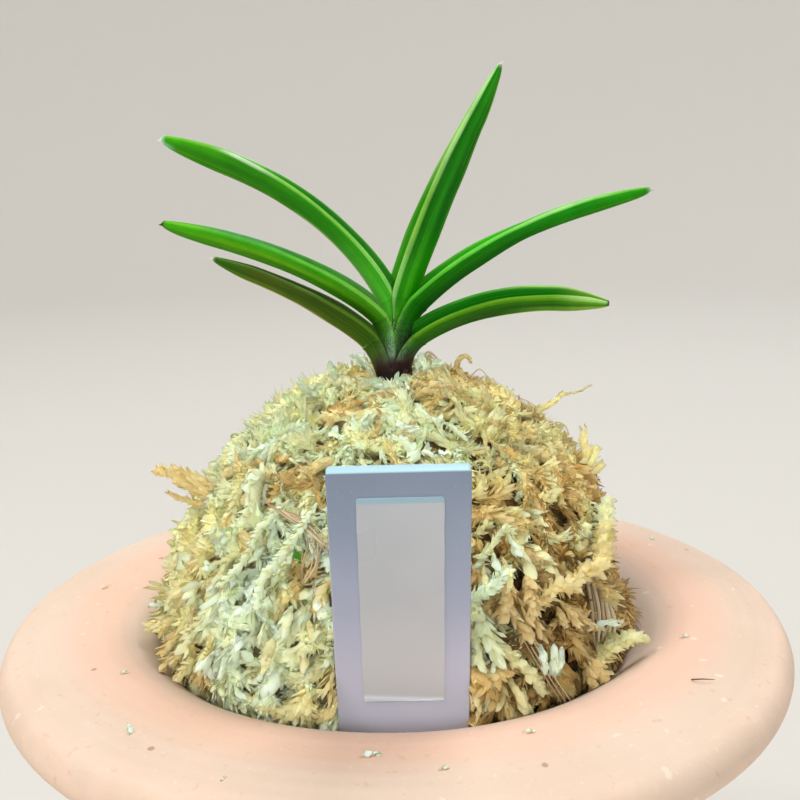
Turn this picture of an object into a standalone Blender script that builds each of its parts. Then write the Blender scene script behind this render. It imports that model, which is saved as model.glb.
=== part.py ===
"""Wind orchid (Vanda falcata) on a tall moss mound in a wide-rimmed bisque pot, with a plain name tag.

The pot stands on its foot ring at z = 0, with the pot's axis on the Z axis. The fan of leaves lies
roughly in the XZ plane and the tag faces -Y. Lengths in the tables are millimetres.
"""

import math

import bmesh
import bpy
from mathutils import Matrix, Vector

MM = 0.001
GAP = 0.3               # clearance left between pieces that touch

# ---- pot --------------------------------------------------------------------------------------
RIM_R = 52.5            # outer edge of the rim
RIM_EDGE_Z = 83.2       # height of the widest part of the rim
RIM_EDGE_ROUND = 3.5    # rounding of the rim's outer edge
LIP_R = 39.8            # radius of the lip's crest
LIP_Z = 88.0            # height of the lip's crest
LIP_ROUND = 10.3        # radius of the arc that rolls from the crest into the mouth
NECK_R = 35.6           # outside of the body under the rim
NECK_Z = 73.0
FOOT_R = 30.0           # outside of the foot ring
FOOT_INNER_R = 23.6
FOOT_RECESS = 3.4       # height of the recess inside the foot ring
FLOOR_Z = 8.6           # inside floor of the pot
DRAIN_R = 10.0
POT_STEPS = 48

# ---- moss -------------------------------------------------------------------------------------
MOSS_BOTTOM_Z = 15.0
MOSS_TOP_Z = 120.6
MOSS_STEPS = 40
# (radius, height) down the outside of the mound above the lip
MOUND = [(4.5, 120.2), (9.0, 118.7), (14.0, 116.4), (18.5, 113.7), (22.6, 110.4), (25.6, 106.6),
         (28.0, 102.4), (30.0, 97.6), (31.6, 92.4), (32.2, 88.4), (31.9, 85.8), (30.9, 83.9), (29.6, 81.2)]

# ---- plant ------------------------------------------------------------------------------------
# (height, centre x, half width in x, half depth in y) of the stem and its clasping leaf bases
STEM = [(107.0, 0.9, 0.9, 0.9), (107.6, 0.9, 1.5, 1.4), (112.0, 0.9, 1.7, 1.6), (118.4, 0.9, 1.9, 1.7),
        (120.2, 0.45, 2.4, 1.8), (122.4, 0.3, 3.1, 1.9), (124.6, 0.5, 3.2, 2.0), (127.0, 1.0, 3.1, 1.9),
        (129.4, 1.8, 2.8, 1.75), (131.2, 2.5, 2.0, 1.3), (132.0, 2.6, 1.1, 0.7)]
STEM_SIDES = 18

# Each leaf is a folded, keeled blade. base: (x, z) of its joint; rise: angle of the blade above +X at
# the joint and at the tip, in degrees; bend: how early the turn happens; length along the blade; depth:
# how far its tip swings back (+) or forward (-); roll: turn of the fold towards the front; widths: height
# of the folded blade at even steps from joint to tip.
LEAVES = {
    "leaf_right_upper": dict(base=(1.86, 129.8), rise=(76.9, 61.6), bend=0.35, length=31.8, depth=1.0,
                             roll=12, widths=(3.8, 3.9, 3.6, 2.6, 1.3)),
    "leaf_left_upper": dict(base=(-0.1, 129.5), rise=(114.0, 166.9), bend=0.72, length=36.5, depth=3.0,
                            roll=17, widths=(3.05, 2.9, 2.87, 3.0, 2.1)),
    "leaf_right_middle": dict(base=(3.9, 129.1), rise=(43.5, 8.7), bend=0.81, length=33.2, depth=-1.0,
                              roll=15, widths=(3.2, 2.8, 2.0, 2.0, 1.5)),
    "leaf_left_middle": dict(base=(-1.2, 127.0), rise=(127.5, 167.6), bend=0.45, length=30.6, depth=-2.0,
                             roll=14, widths=(2.7, 2.7, 2.5, 2.3, 1.7)),
    "leaf_right_lower": dict(base=(3.9, 124.4), rise=(36.3, -11.2), bend=0.77, length=25.1, depth=-4.0,
                             roll=26, widths=(3.1, 3.2, 3.3, 3.0, 1.7)),
    "leaf_left_lower": dict(base=(-2.4, 123.8), rise=(123.0, 160.8), bend=0.31, length=23.6, depth=2.0,
                            roll=8, widths=(2.8, 2.9, 2.3, 2.0, 1.2)),
}
FOLD = 26.0             # half angle of the leaf's fold, in degrees
LEAF_THICK = 0.6
LEAF_ROOT = 1.8         # how far the blade runs back into the leaf bases before it is trimmed
LEAF_RINGS = 14

ROOT_R = 1.1
# start azimuth, end azimuth (degrees), start height, widest radius, end height
ROOTS = {
    "root_2": (20, 55, 109.4, 19.0, 52.0),
    "root_3": (95, 130, 109.4, 20.0, 38.0),
    "root_4": (165, 205, 109.4, 17.0, 60.0),
    "root_5": (312, 300, 109.4, 18.0, 44.0),
}
ROOT_TIP = (-11.2, -25.3, 103.5)      # the green root tip comes through the front of the moss here

# ---- tag --------------------------------------------------------------------------------------
TAG_W = 15.05
TAG_THICK = 1.5
TAG_LEN = 62.0
TAG_POINT = 15.0        # length of the tapered end
TAG_TOP = (0.57, -36.97, 117.4)       # middle of the front face's top edge
TAG_LEAN = 12.8         # degrees, top towards the front
STICKER_W = 9.2
STICKER_H = 26.9
STICKER_THICK = 0.14
STICKER_TOP = 3.05      # below the tag's top edge
STICKER_X = 0.1

# ---- loose strands: points, start radius, end radius --------------------------------------------
STRANDS = {
    "moss_strand_curl": ([(9.6, 0.4, 119.2), (8.95, 0.2, 119.9), (8.8, 0.1, 120.6), (9.1, 0.0, 121.3),
                          (9.7, 0.0, 121.6), (10.3, 0.0, 121.3), (10.45, 0.0, 120.8)], 0.55, 0.3),
    "moss_strand_spike": ([(19.5, 0.0, 114.2), (21.2, 0.0, 115.0), (22.4, 0.0, 115.9), (24.4, 0.0, 116.4),
                           (26.2, 0.0, 117.3)], 0.6, 0.15),
    "moss_frond_left": ([(-25.3, -6.4, 106.9), (-27.2, -6.7, 107.8), (-29.8, -7.0, 108.9)], 0.8, 0.3),
    "moss_frond_right": ([(25.7, -2.0, 107.7), (25.6, -2.0, 109.8), (25.1, -2.0, 112.6)], 0.7, 0.25),
}

COLOURS = {             # colour, roughness, metallic
    "bisque_clay": ((0.82, 0.60, 0.46, 1), 0.9, 0.0),
    "moss": ((0.70, 0.63, 0.40, 1), 0.95, 0.0),
    "stem": ((0.10, 0.07, 0.06, 1), 0.6, 0.0),
    "leaf": ((0.05, 0.26, 0.02, 1), 0.42, 0.0),
    "root": ((0.62, 0.60, 0.50, 1), 0.8, 0.0),
    "tag_plastic": ((0.42, 0.44, 0.50, 1), 0.4, 0.0),
    "tag_tape": ((0.62, 0.60, 0.58, 1), 0.35, 0.0),
}


def clear_scene():
    for obj in list(bpy.data.objects):
        bpy.data.objects.remove(obj, do_unlink=True)


def new_collection(name):
    coll = bpy.data.collections.new(name)
    bpy.context.scene.collection.children.link(coll)
    return coll


def material(name, colour, roughness, metallic):
    mat = bpy.data.materials.new(name)
    mat.use_nodes = True
    shader = mat.node_tree.nodes["Principled BSDF"]
    shader.inputs["Base Color"].default_value = colour
    shader.inputs["Roughness"].default_value = roughness
    shader.inputs["Metallic"].default_value = metallic
    mat.diffuse_color = colour
    return mat


def place(name, data, coll, mat):
    obj = bpy.data.objects.new(name, data)
    coll.objects.link(obj)
    if mat is not None:
        data.materials.append(mat)
    return obj


def as_cutter(obj):
    obj.hide_render = True
    obj.display_type = "WIRE"
    return obj


def smooth(obj, angle=35):
    obj.data.shade_smooth()
    obj.data.set_sharp_from_angle(angle=math.radians(angle))


def cut(obj, tools):
    for tool in tools:
        mod = obj.modifiers.new("cut_" + tool.name, "BOOLEAN")
        mod.operation = "DIFFERENCE"
        mod.solver = "EXACT"
        mod.object = tool


def arc(cx, cz, r, start, end, n):
    """Points on an arc in the profile plane, angles in degrees from +X."""
    out = []
    for i in range(n + 1):
        a = math.radians(start + (end - start) * i / n)
        out.append((cx + r * math.cos(a), cz + r * math.sin(a)))
    return out


def turned(name, profile, closed, steps, coll, mat):
    """A solid turned about Z from a profile of (radius, height)."""
    mesh = bpy.data.meshes.new(name)
    bm = bmesh.new()
    verts = [bm.verts.new((r * MM, 0, z * MM)) for r, z in profile]
    for a, b in zip(verts, verts[1:]):
        bm.edges.new((a, b))
    if closed:
        bm.edges.new((verts[-1], verts[0]))
    bm.to_mesh(mesh)
    bm.free()
    obj = place(name, mesh, coll, mat)
    screw = obj.modifiers.new("turn", "SCREW")
    screw.axis = "Z"
    screw.angle = 2 * math.pi
    screw.steps = steps
    screw.render_steps = steps
    screw.use_merge_vertices = True
    screw.merge_threshold = 0.00001
    screw.use_smooth_shade = True
    return obj


def evaluated_mesh(obj, name):
    """The object's evaluated mesh as a new mesh, with its caps welded."""
    deps = bpy.context.evaluated_depsgraph_get()
    mesh = bpy.data.meshes.new_from_object(obj.evaluated_get(deps))
    mesh.name = name
    bm = bmesh.new()
    bm.from_mesh(mesh)
    bmesh.ops.remove_doubles(bm, verts=bm.verts, dist=0.000001)
    bm.to_mesh(mesh)
    bm.free()
    return mesh


def loft(name, rings, coll, mat, tip=None):
    """A closed solid through rings of points. The first ring is capped, the last is capped or ends in a point."""
    mesh = bpy.data.meshes.new(name)
    bm = bmesh.new()
    rows = [[bm.verts.new(Vector(p) * MM) for p in ring] for ring in rings]
    n = len(rows[0])
    for a, b in zip(rows, rows[1:]):
        for i in range(n):
            bm.faces.new((a[i], a[(i + 1) % n], b[(i + 1) % n], b[i]))
    bm.faces.new(list(reversed(rows[0])))
    if tip is None:
        bm.faces.new(rows[-1])
    else:
        end = bm.verts.new(Vector(tip) * MM)
        for i in range(n):
            bm.faces.new((rows[-1][i], rows[-1][(i + 1) % n], end))
    bmesh.ops.triangulate(bm, faces=[f for f in bm.faces if len(f.verts) > 4])
    bmesh.ops.recalc_face_normals(bm, faces=bm.faces)
    bm.to_mesh(mesh)
    bm.free()
    return place(name, mesh, coll, mat)


def tube(name, points, radii, coll, mat, sides=2):
    """A round strand along points, its caps filled and welded."""
    data = bpy.data.curves.new(name + "_path", "CURVE")
    data.dimensions = "3D"
    data.bevel_depth = MM
    data.bevel_resolution = sides
    data.use_fill_caps = True
    spline = data.splines.new("POLY")
    spline.points.add(len(points) - 1)
    for i, p in enumerate(points):
        spline.points[i].co = (p[0] * MM, p[1] * MM, p[2] * MM, 1)
        spline.points[i].radius = radii[i]
    path = bpy.data.objects.new(name + "_path", data)
    coll.objects.link(path)
    obj = place(name, evaluated_mesh(path, name), coll, mat)
    obj.matrix_world = path.matrix_world.copy()
    bpy.data.objects.remove(path, do_unlink=True)
    bm = bmesh.new()
    bm.from_mesh(obj.data)
    bmesh.ops.recalc_face_normals(bm, faces=bm.faces)
    bm.to_mesh(obj.data)
    bm.free()
    smooth(obj, 50)
    return obj


def catmull(points, per):
    """A smooth curve through points, with per steps between each two."""
    pts = [Vector(p) for p in points]
    ext = [2 * pts[0] - pts[1]] + pts + [2 * pts[-1] - pts[-2]]
    out = []
    for i in range(1, len(ext) - 2):
        p0, p1, p2, p3 = ext[i - 1], ext[i], ext[i + 1], ext[i + 2]
        for k in range(per):
            t = k / per
            out.append(0.5 * ((2 * p1) + (p2 - p0) * t + (2 * p0 - 5 * p1 + 4 * p2 - p3) * t * t
                              + (3 * p1 - p0 - 3 * p2 + p3) * t ** 3))
    out.append(pts[-1])
    return out


# ---- shapes -----------------------------------------------------------------------------------
def pot_profile():
    """(radius, height) round the pot's wall: down the outside, across the foot, up the inside."""
    edge_x = RIM_R - RIM_EDGE_ROUND
    pts = [(LIP_R, LIP_Z), (44.6, 87.7)]
    pts += arc(edge_x, RIM_EDGE_Z, RIM_EDGE_ROUND, 82, -70, 7)
    pts += [(46.4, 78.6), (41.0, 77.2), (37.2, 75.4), (NECK_R, NECK_Z), (35.9, 68.0), (36.4, 58.0),
            (35.9, 42.0), (34.2, 26.0), (31.8, 12.0), (30.9, 5.0), (FOOT_R + 0.2, 0.9), (FOOT_R - 0.7, 0.0)]
    pts += [(FOOT_INNER_R + 0.6, 0.0), (FOOT_INNER_R, 0.6), (FOOT_INNER_R - 0.5, FOOT_RECESS),
            (DRAIN_R + 0.8, FOOT_RECESS), (DRAIN_R, FOOT_RECESS + 0.8), (DRAIN_R, FLOOR_Z - 0.8),
            (DRAIN_R + 0.8, FLOOR_Z), (23.5, FLOOR_Z), (26.2, 11.0), (28.6, 24.0), (30.2, 42.0), (30.6, 58.0),
            (30.2, 68.0)]
    pts += arc(LIP_R, LIP_Z - LIP_ROUND, LIP_ROUND, 190, 104, 7)
    return pts


def moss_profile():
    """(radius, height) down the outside of the moss, from its top to its underside."""
    inside = [(29.1, 78.0), (29.2, 74.0), (29.7, 68.0), (30.1, 58.0), (29.7, 42.0), (28.2, 25.5), (27.0, 17.2),
              (24.8, MOSS_BOTTOM_Z)]
    return [(0.0, MOSS_TOP_Z)] + MOUND + inside + [(0.0, MOSS_BOTTOM_Z)]


def stem_rings(grow):
    rings = []
    for i, (z, cx, a, b) in enumerate(STEM):
        dz = -grow if i == 0 else (grow if i == len(STEM) - 1 else 0.0)
        ring = []
        for k in range(STEM_SIDES):
            t = 2 * math.pi * k / STEM_SIDES
            c, s = math.cos(t), math.sin(t)
            ring.append((cx + (a + grow) * math.copysign(abs(c) ** 0.85, c),
                         (b + grow) * math.copysign(abs(s) ** 0.95, s), z + dz))
        rings.append(ring)
    return rings


def leaf_frames(spec, rings):
    """Centre, along, up and front directions at steps along a leaf, from inside its joint to its tip."""
    a0, a1 = (math.radians(a) for a in spec["rise"])
    length, bend = spec["length"], spec["bend"]
    left = a0 > math.pi / 2
    fine = 240
    x, z = spec["base"]
    path = []
    for i in range(fine + 1):
        s = i / fine
        a = a0 + (a1 - a0) * s ** bend
        path.append((s, x, z, a))
        x += math.cos(a) * length / fine
        z += math.sin(a) * length / fine
    out = []
    steps = [-LEAF_ROOT / length, 0.0] + [(i / rings) ** 0.92 for i in range(1, rings)]
    for s in steps:
        if s < 0:
            px, pz, a = spec["base"][0] + math.cos(a0) * s * length, spec["base"][1] + math.sin(a0) * s * length, a0
        else:
            _, px, pz, a = path[min(fine, round(s * fine))]
        y = spec["depth"] * max(s, 0.0) ** 1.15
        along = Vector((math.cos(a), spec["depth"] / length, math.sin(a))).normalized()
        up = Vector((math.sin(a), 0, -math.cos(a))) if left else Vector((-math.sin(a), 0, math.cos(a)))
        front = Vector((0, -1, 0))
        front = (front - along * front.dot(along)).normalized()
        roll = math.radians(spec["roll"])
        up, front = (up * math.cos(roll) + front * math.sin(roll), front * math.cos(roll) - up * math.sin(roll))
        out.append((s, Vector((px, y, pz)), along, up, front))
    _, px, pz, _ = path[-1]
    return out, Vector((px, spec["depth"], pz))


def leaf_width(spec, s):
    w = spec["widths"]
    t = min(max(s, 0.0), 0.999) * (len(w) - 1)
    i = int(t)
    body = w[i] + (w[i + 1] - w[i]) * (t - i)
    body *= math.sqrt(max(0.0, 1 - max(s, 0.0) ** 14))
    return body * (0.84 if s < 0 else 1.0)


def leaf_rings(spec, grow):
    frames, tip = leaf_frames(spec, LEAF_RINGS)
    fold = math.radians(FOLD)
    rings = []
    for s, c, along, up, front in frames:
        w = leaf_width(spec, s)
        t = min(LEAF_THICK, 0.3 * w)
        n0 = -w * 0.5
        # (height in the fold plane, distance to the front) round the folded blade
        arm = w / math.cos(fold) * 0.93
        def on(u, side, inward):
            return (n0 + u * arm * math.cos(fold) + inward * math.sin(fold),
                    side * (u * arm * math.sin(fold) - inward * math.cos(fold)))
        groove = (n0 + t / math.sin(fold) * 0.82, 0.0)
        outline = [on(1.0, 1, -grow), on(0.5, 1, -0.12 - grow), (n0 - grow, 0.0), on(0.5, -1, -0.12 - grow),
                   on(1.0, -1, -grow)]
        if grow:
            outline = [on(1.1, 1, -grow), outline[1], outline[2], outline[3], on(1.1, -1, -grow)]
        else:
            outline += [on(1.0, -1, t), on(0.72, -1, t), groove, on(0.72, 1, t), on(1.0, 1, t)]
        rings.append([c + up * n + front * b for n, b in outline])
    if grow:
        tip = tip + frames[-1][2] * grow
    return rings, tip


def root_points(start, end, top, wide, low):
    pts = []
    for i in range(13):
        t = i / 12
        az = math.radians(start + (end - start) * t)
        r = 3.6 + (wide - 3.6) * math.sin(math.pi * min(1.0, t * 1.25) * 0.5) ** 0.9
        z = top + (low - top) * t ** 1.35
        pts.append((0.9 + r * math.cos(az), r * math.sin(az), z))
    return pts


def tip_root_points():
    tx, ty, tz = ROOT_TIP
    return catmull([(-0.3, -3.5, 109.6), (-2.4, -8.6, 110.6), (-5.6, -15.6, 109.0), (-8.9, -21.6, 106.2), (tx, ty, tz)], 4)


def tag_matrix():
    return Matrix.Translation(Vector(TAG_TOP) * MM) @ Matrix.Rotation(math.radians(90 + TAG_LEAN), 4, "X")


def flat_plate(name, outline, front, thick, coll, mat):
    """A flat plate: outline in the tag's face plane, its front face at distance front before that plane."""
    data = bpy.data.curves.new(name, "CURVE")
    data.dimensions = "2D"
    data.fill_mode = "BOTH"
    data.extrude = thick * 0.5 * MM
    spline = data.splines.new("POLY")
    spline.points.add(len(outline) - 1)
    for i, (x, y) in enumerate(outline):
        spline.points[i].co = (x * MM, y * MM, 0, 1)
    spline.use_cyclic_u = True
    flat = bpy.data.objects.new(name + "_flat", data)
    coll.objects.link(flat)
    mesh = evaluated_mesh(flat, name)
    bpy.data.objects.remove(flat, do_unlink=True)
    bm = bmesh.new()
    bm.from_mesh(mesh)
    bmesh.ops.recalc_face_normals(bm, faces=bm.faces)
    bm.to_mesh(mesh)
    bm.free()
    obj = place(name, mesh, coll, mat)
    obj.matrix_world = tag_matrix() @ Matrix.Translation((0, 0, (front - thick * 0.5) * MM))
    return obj


def tag_outline(grow):
    w, r = TAG_W * 0.5 + grow, 0.5
    pts = [(-w, -r + grow), (-w + r, grow), (w - r, grow), (w, -r + grow)]
    pts += [(w, -TAG_LEN + TAG_POINT), (1.9 + grow, -TAG_LEN - grow), (-1.9 - grow, -TAG_LEN - grow), (-w, -TAG_LEN + TAG_POINT)]
    return pts


def main():
    clear_scene()
    parts = new_collection("wind_orchid")
    tools = new_collection("cutters")
    mats = {name: material(name, *spec) for name, spec in COLOURS.items()}

    # Pot: one turned wall with a rolled lip, a foot ring and a drain hole.
    turned("pot", pot_profile(), True, POT_STEPS, parts, mats["bisque_clay"])

    # Stem with the clasping leaf bases that grew round it.
    stem = loft("stem", stem_rings(0.0), parts, mats["stem"])
    smooth(stem, 60)
    stem_room = as_cutter(loft("stem_room", stem_rings(GAP), tools, None))

    # Leaves, youngest first: each is trimmed clear of the stem and of the leaves that came after it.
    rooms = {}
    order = list(LEAVES)
    for name in order:
        rings, tip = leaf_rings(LEAVES[name], 0.0)
        leaf = loft(name, rings, parts, mats["leaf"], tip)
        smooth(leaf, 50)
        near = {"leaf_left_upper": ["leaf_right_upper"], "leaf_right_middle": ["leaf_right_upper"],
                "leaf_left_middle": ["leaf_left_upper"], "leaf_right_lower": ["leaf_right_middle"],
                "leaf_left_lower": ["leaf_left_middle"]}.get(name, [])
        cut(leaf, [stem_room] + [rooms[n] for n in near])
        rings, tip = leaf_rings(LEAVES[name], GAP)
        rooms[name] = as_cutter(loft(name + "_room", rings, tools, None, tip))

    # Roots run from the stem's foot down through the moss; one tip comes through its front.
    root_rooms = []
    paths = {"root_1": tip_root_points()}
    paths.update({name: root_points(*spec) for name, spec in ROOTS.items()})
    for name, pts in paths.items():
        taper = [ROOT_R] * (len(pts) - 2) + [ROOT_R * 0.92, ROOT_R * 0.6]
        tube(name, pts, taper, parts, mats["root"])
        first, last = Vector(pts[0]), Vector(pts[-1])
        ext = [first + (first - Vector(pts[1])).normalized() * 2.6] + [Vector(p) for p in pts]
        ext.append(last + (last - Vector(pts[-2])).normalized() * (3.0 if name == "root_1" else 0.6))
        root_rooms.append(as_cutter(tube(name + "_room", ext, [ROOT_R + GAP + 0.12] * len(ext), tools, None)))

    # Tag: a flat plate with a tapered end, pushed in between the moss and the lip.
    flat_plate("name_tag", tag_outline(0.0), 0.0, TAG_THICK, parts, mats["tag_plastic"])
    tag_room = as_cutter(flat_plate("tag_room", tag_outline(GAP), GAP + 3.0, TAG_THICK + 2 * GAP + 3.0, tools, None))
    w = STICKER_W * 0.5
    top = -STICKER_TOP
    outline = [(STICKER_X - w, top), (STICKER_X + w, top), (STICKER_X + w, top - STICKER_H), (STICKER_X - w, top - STICKER_H)]
    flat_plate("tag_sticker", outline, 0.1 + STICKER_THICK, STICKER_THICK, parts, mats["tag_tape"])

    # Moss: one mass with a socket for the stem, channels for the roots and a slot for the tag.
    rough = turned("moss_turned", moss_profile(), False, MOSS_STEPS, parts, mats["moss"])
    moss = place("moss_mound", evaluated_mesh(rough, "moss_mound"), parts, None)
    bpy.data.objects.remove(rough, do_unlink=True)
    for v in moss.data.vertices:
        z = v.co.z / MM
        if z > 90.0 and z < MOSS_TOP_Z - 0.1:
            a = math.atan2(v.co.y, v.co.x)
            swell = 1 + 0.014 * math.sin(3 * a + 0.12 * z) + 0.010 * math.sin(7 * a - 0.2 * z)
            v.co.x *= swell
            v.co.y *= swell
    smooth(moss, 60)
    cut(moss, [stem_room] + root_rooms + [tag_room])

    # Longer strands that stand out of the moss.
    for name, (points, r0, r1) in STRANDS.items():
        pts = catmull(points, 3)
        radii = [r0 + (r1 - r0) * i / (len(pts) - 1) for i in range(len(pts))]
        tube(name, pts, radii, parts, mats["moss"], sides=1)


main()
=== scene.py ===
"""Looks of a potted wind orchid: six folded leaves on a short stem, on a dome of dried sphagnum in a clay pot, with a
blank plant tag. Lengths here are in millimetres, in the frame of the CAD model, and become metres where a mesh is made."""
import bpy
import math
import numpy as np
from mathutils import Matrix, Vector, kdtree


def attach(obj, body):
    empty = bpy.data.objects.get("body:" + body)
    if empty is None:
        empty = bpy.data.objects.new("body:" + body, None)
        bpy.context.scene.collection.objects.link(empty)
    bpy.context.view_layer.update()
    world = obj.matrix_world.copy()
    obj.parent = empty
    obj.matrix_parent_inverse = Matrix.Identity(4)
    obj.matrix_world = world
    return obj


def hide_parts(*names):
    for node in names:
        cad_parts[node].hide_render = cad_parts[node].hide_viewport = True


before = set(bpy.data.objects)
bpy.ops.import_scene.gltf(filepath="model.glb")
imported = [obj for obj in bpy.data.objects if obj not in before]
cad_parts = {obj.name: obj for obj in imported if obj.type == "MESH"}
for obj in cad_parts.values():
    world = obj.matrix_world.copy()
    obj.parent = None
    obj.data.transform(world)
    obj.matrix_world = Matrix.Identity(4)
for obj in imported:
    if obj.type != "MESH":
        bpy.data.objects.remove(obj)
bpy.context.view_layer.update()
MM = 0.001
GOLDEN = 2.399963


# ---------------------------------------------------------------- colours and materials
def lin(r, g, b):
    """sRGB 0-255 to linear."""
    return tuple((c / 255 / 12.92) if c / 255 <= 0.04045 else ((c / 255 + 0.055) / 1.055) ** 2.4 for c in (r, g, b))


class Mat:
    """A Principled material with short names for the nodes it uses."""

    def __init__(self, name):
        self.m = bpy.data.materials.new(name)
        self.m.use_nodes = True
        t = self.m.node_tree
        t.nodes.clear()
        self.n, self.l = t.nodes, t.links
        self.out = self.n.new("ShaderNodeOutputMaterial")
        self.b = self.n.new("ShaderNodeBsdfPrincipled")
        self.l.new(self.b.outputs[0], self.out.inputs[0])

    def put(self, socket, x):
        if isinstance(x, bpy.types.NodeSocket):
            self.l.new(x, socket)
        elif isinstance(x, tuple) and len(x) == 3 and socket.type == "RGBA":
            socket.default_value = (*x, 1)
        else:
            socket.default_value = x

    def set(self, **kw):
        for k, v in kw.items():
            self.put(self.b.inputs[k.replace("_", " ").title().replace("Ior", "IOR")], v)
        return self

    def obj(self):
        return self.n.new("ShaderNodeTexCoord").outputs["Object"]

    def uv(self, name="OFBake"):
        n = self.n.new("ShaderNodeUVMap")
        n.uv_map = name
        return n.outputs[0]

    def split(self, v):
        n = self.n.new("ShaderNodeSeparateXYZ")
        self.put(n.inputs[0], v)
        return n.outputs

    def join(self, x, y, z):
        n = self.n.new("ShaderNodeCombineXYZ")
        for i, v in enumerate((x, y, z)):
            self.put(n.inputs[i], v)
        return n.outputs[0]

    def math(self, op, a, b=0.0, clamp=False):
        n = self.n.new("ShaderNodeMath")
        n.operation, n.use_clamp = op, clamp
        self.put(n.inputs[0], a)
        self.put(n.inputs[1], b)
        return n.outputs[0]

    def vmath(self, op, a, b=(1, 1, 1)):
        n = self.n.new("ShaderNodeVectorMath")
        n.operation = op
        self.put(n.inputs[0], a)
        self.put(n.inputs[1], b)
        return n.outputs["Value"] if op in ("LENGTH", "DISTANCE", "DOT_PRODUCT") else n.outputs[0]

    def noise(self, vec, scale, detail=3.0, rough=0.5, distort=0.0):
        n = self.n.new("ShaderNodeTexNoise")
        self.put(n.inputs["Vector"], vec)
        for k, v in (("Scale", scale), ("Detail", detail), ("Roughness", rough), ("Distortion", distort)):
            self.put(n.inputs[k], v)
        return n.outputs[0]

    def cells(self, vec, scale, feature="F1", out="Distance"):
        n = self.n.new("ShaderNodeTexVoronoi")
        n.feature = feature
        self.put(n.inputs["Vector"], vec)
        self.put(n.inputs["Scale"], scale)
        return n.outputs[out]

    def between(self, x, lo, hi, a=0.0, b=1.0, smooth=True):
        n = self.n.new("ShaderNodeMapRange")
        n.interpolation_type = "SMOOTHSTEP" if smooth else "LINEAR"
        n.clamp = True
        for i, v in enumerate((x, lo, hi, a, b)):
            self.put(n.inputs[i], v)
        return n.outputs[0]

    def ramp(self, fac, stops, how="LINEAR"):
        n = self.n.new("ShaderNodeValToRGB")
        n.color_ramp.interpolation = how
        e = n.color_ramp.elements
        while len(e) > 1:
            e.remove(e[-1])
        for i, (p, c) in enumerate(stops):
            s = e[0] if i == 0 else e.new(p)
            s.position = p
            s.color = (*c, 1)
        self.put(n.inputs[0], fac)
        return n.outputs[0]

    def mix(self, fac, a, b, how="MIX"):
        n = self.n.new("ShaderNodeMix")
        n.data_type, n.blend_type = "RGBA", how
        self.put(n.inputs[0], fac)
        self.put(n.inputs[6], a)
        self.put(n.inputs[7], b)
        return n.outputs[2]

    def bump(self, height, strength, distance, normal=None):
        n = self.n.new("ShaderNodeBump")
        n.inputs["Strength"].default_value = strength
        n.inputs["Distance"].default_value = distance
        self.put(n.inputs["Height"], height)
        if normal is not None:
            self.put(n.inputs["Normal"], normal)
        return n.outputs[0]


def clay_material():
    m = Mat("bisque_clay")
    p = m.obj()
    x, y, z = m.split(p)
    r = m.vmath("LENGTH", m.join(x, y, 0.0))
    around = m.vmath("SCALE", m.vmath("NORMALIZE", m.join(x, y, 0.0)))
    around.node.inputs["Scale"].default_value = 0.012
    ax, ay, _ = m.split(around)
    turned = m.join(m.math("ADD", r, m.math("MULTIPLY", z, 0.7)), ax, ay)  # streaks that run round the pot
    cloud = m.noise(p, 38, 3, 0.55)
    rings = m.noise(turned, 420, 4, 0.6)
    grain = m.noise(p, 1500, 3, 0.6)
    speck = m.noise(p, 700, 2, 0.5)
    col = m.mix(m.between(cloud, 0.35, 0.68), lin(222, 197, 176), lin(227, 204, 185))
    lip = m.math("MULTIPLY", m.between(r, 0.0345, 0.0385), m.between(r, 0.0465, 0.0405))
    col = m.mix(m.math("MULTIPLY", lip, m.between(z, 0.079, 0.086, 0.75, 0.42)), col, lin(242, 186, 158))
    edge = m.between(r, 0.0480, 0.0515)
    col = m.mix(m.math("MULTIPLY", edge, m.between(rings, 0.42, 0.62, 0.15, 0.75)), col, lin(236, 206, 184))
    col = m.mix(m.between(grain, 0.60, 0.78, 0.0, 0.35), col, lin(254, 232, 212))
    col = m.mix(m.between(speck, 0.66, 0.74, 0.0, 0.32), col, lin(214, 165, 136))
    pale = m.between(m.noise(m.vmath("ADD", p, (0.31, 0.12, 0.4)), 520, 1, 0.4), 0.74, 0.78, 0.0, 0.35)
    col = m.mix(pale, col, lin(255, 240, 224))
    pits = m.between(m.cells(p, 165), 0.055, 0.085, 1.0, 0.0)
    some = m.between(m.cells(p, 165, out="Color"), 0.60, 0.66)
    pit = m.math("MULTIPLY", pits, some)
    col = m.mix(m.math("MULTIPLY", pit, 0.6), col, lin(150, 108, 84))
    h = m.math("ADD", m.math("MULTIPLY", rings, 0.9), m.math("MULTIPLY", grain, 0.55))
    h = m.math("SUBTRACT", h, m.math("MULTIPLY", pit, 0.8))
    h = m.math("ADD", h, m.math("MULTIPLY", m.math("MULTIPLY", edge, m.noise(turned, 950, 2, 0.5)), 1.6))
    m.set(base_color=col, roughness=m.between(grain, 0.3, 0.7, 0.72, 0.86), normal=m.bump(h, 0.55, 0.00009))
    m.b.inputs["Specular IOR Level"].default_value = 0.35
    return m.m


MOSS_TONES = [(0.00, (56, 44, 24)), (0.10, (104, 82, 46)), (0.22, (164, 136, 84)), (0.34, (206, 177, 114)),
              (0.46, (226, 203, 142)), (0.58, (230, 217, 158)), (0.70, (230, 227, 172)), (0.82, (227, 232, 188)),
              (0.92, (223, 240, 213)), (1.00, (237, 249, 237))]


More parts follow.
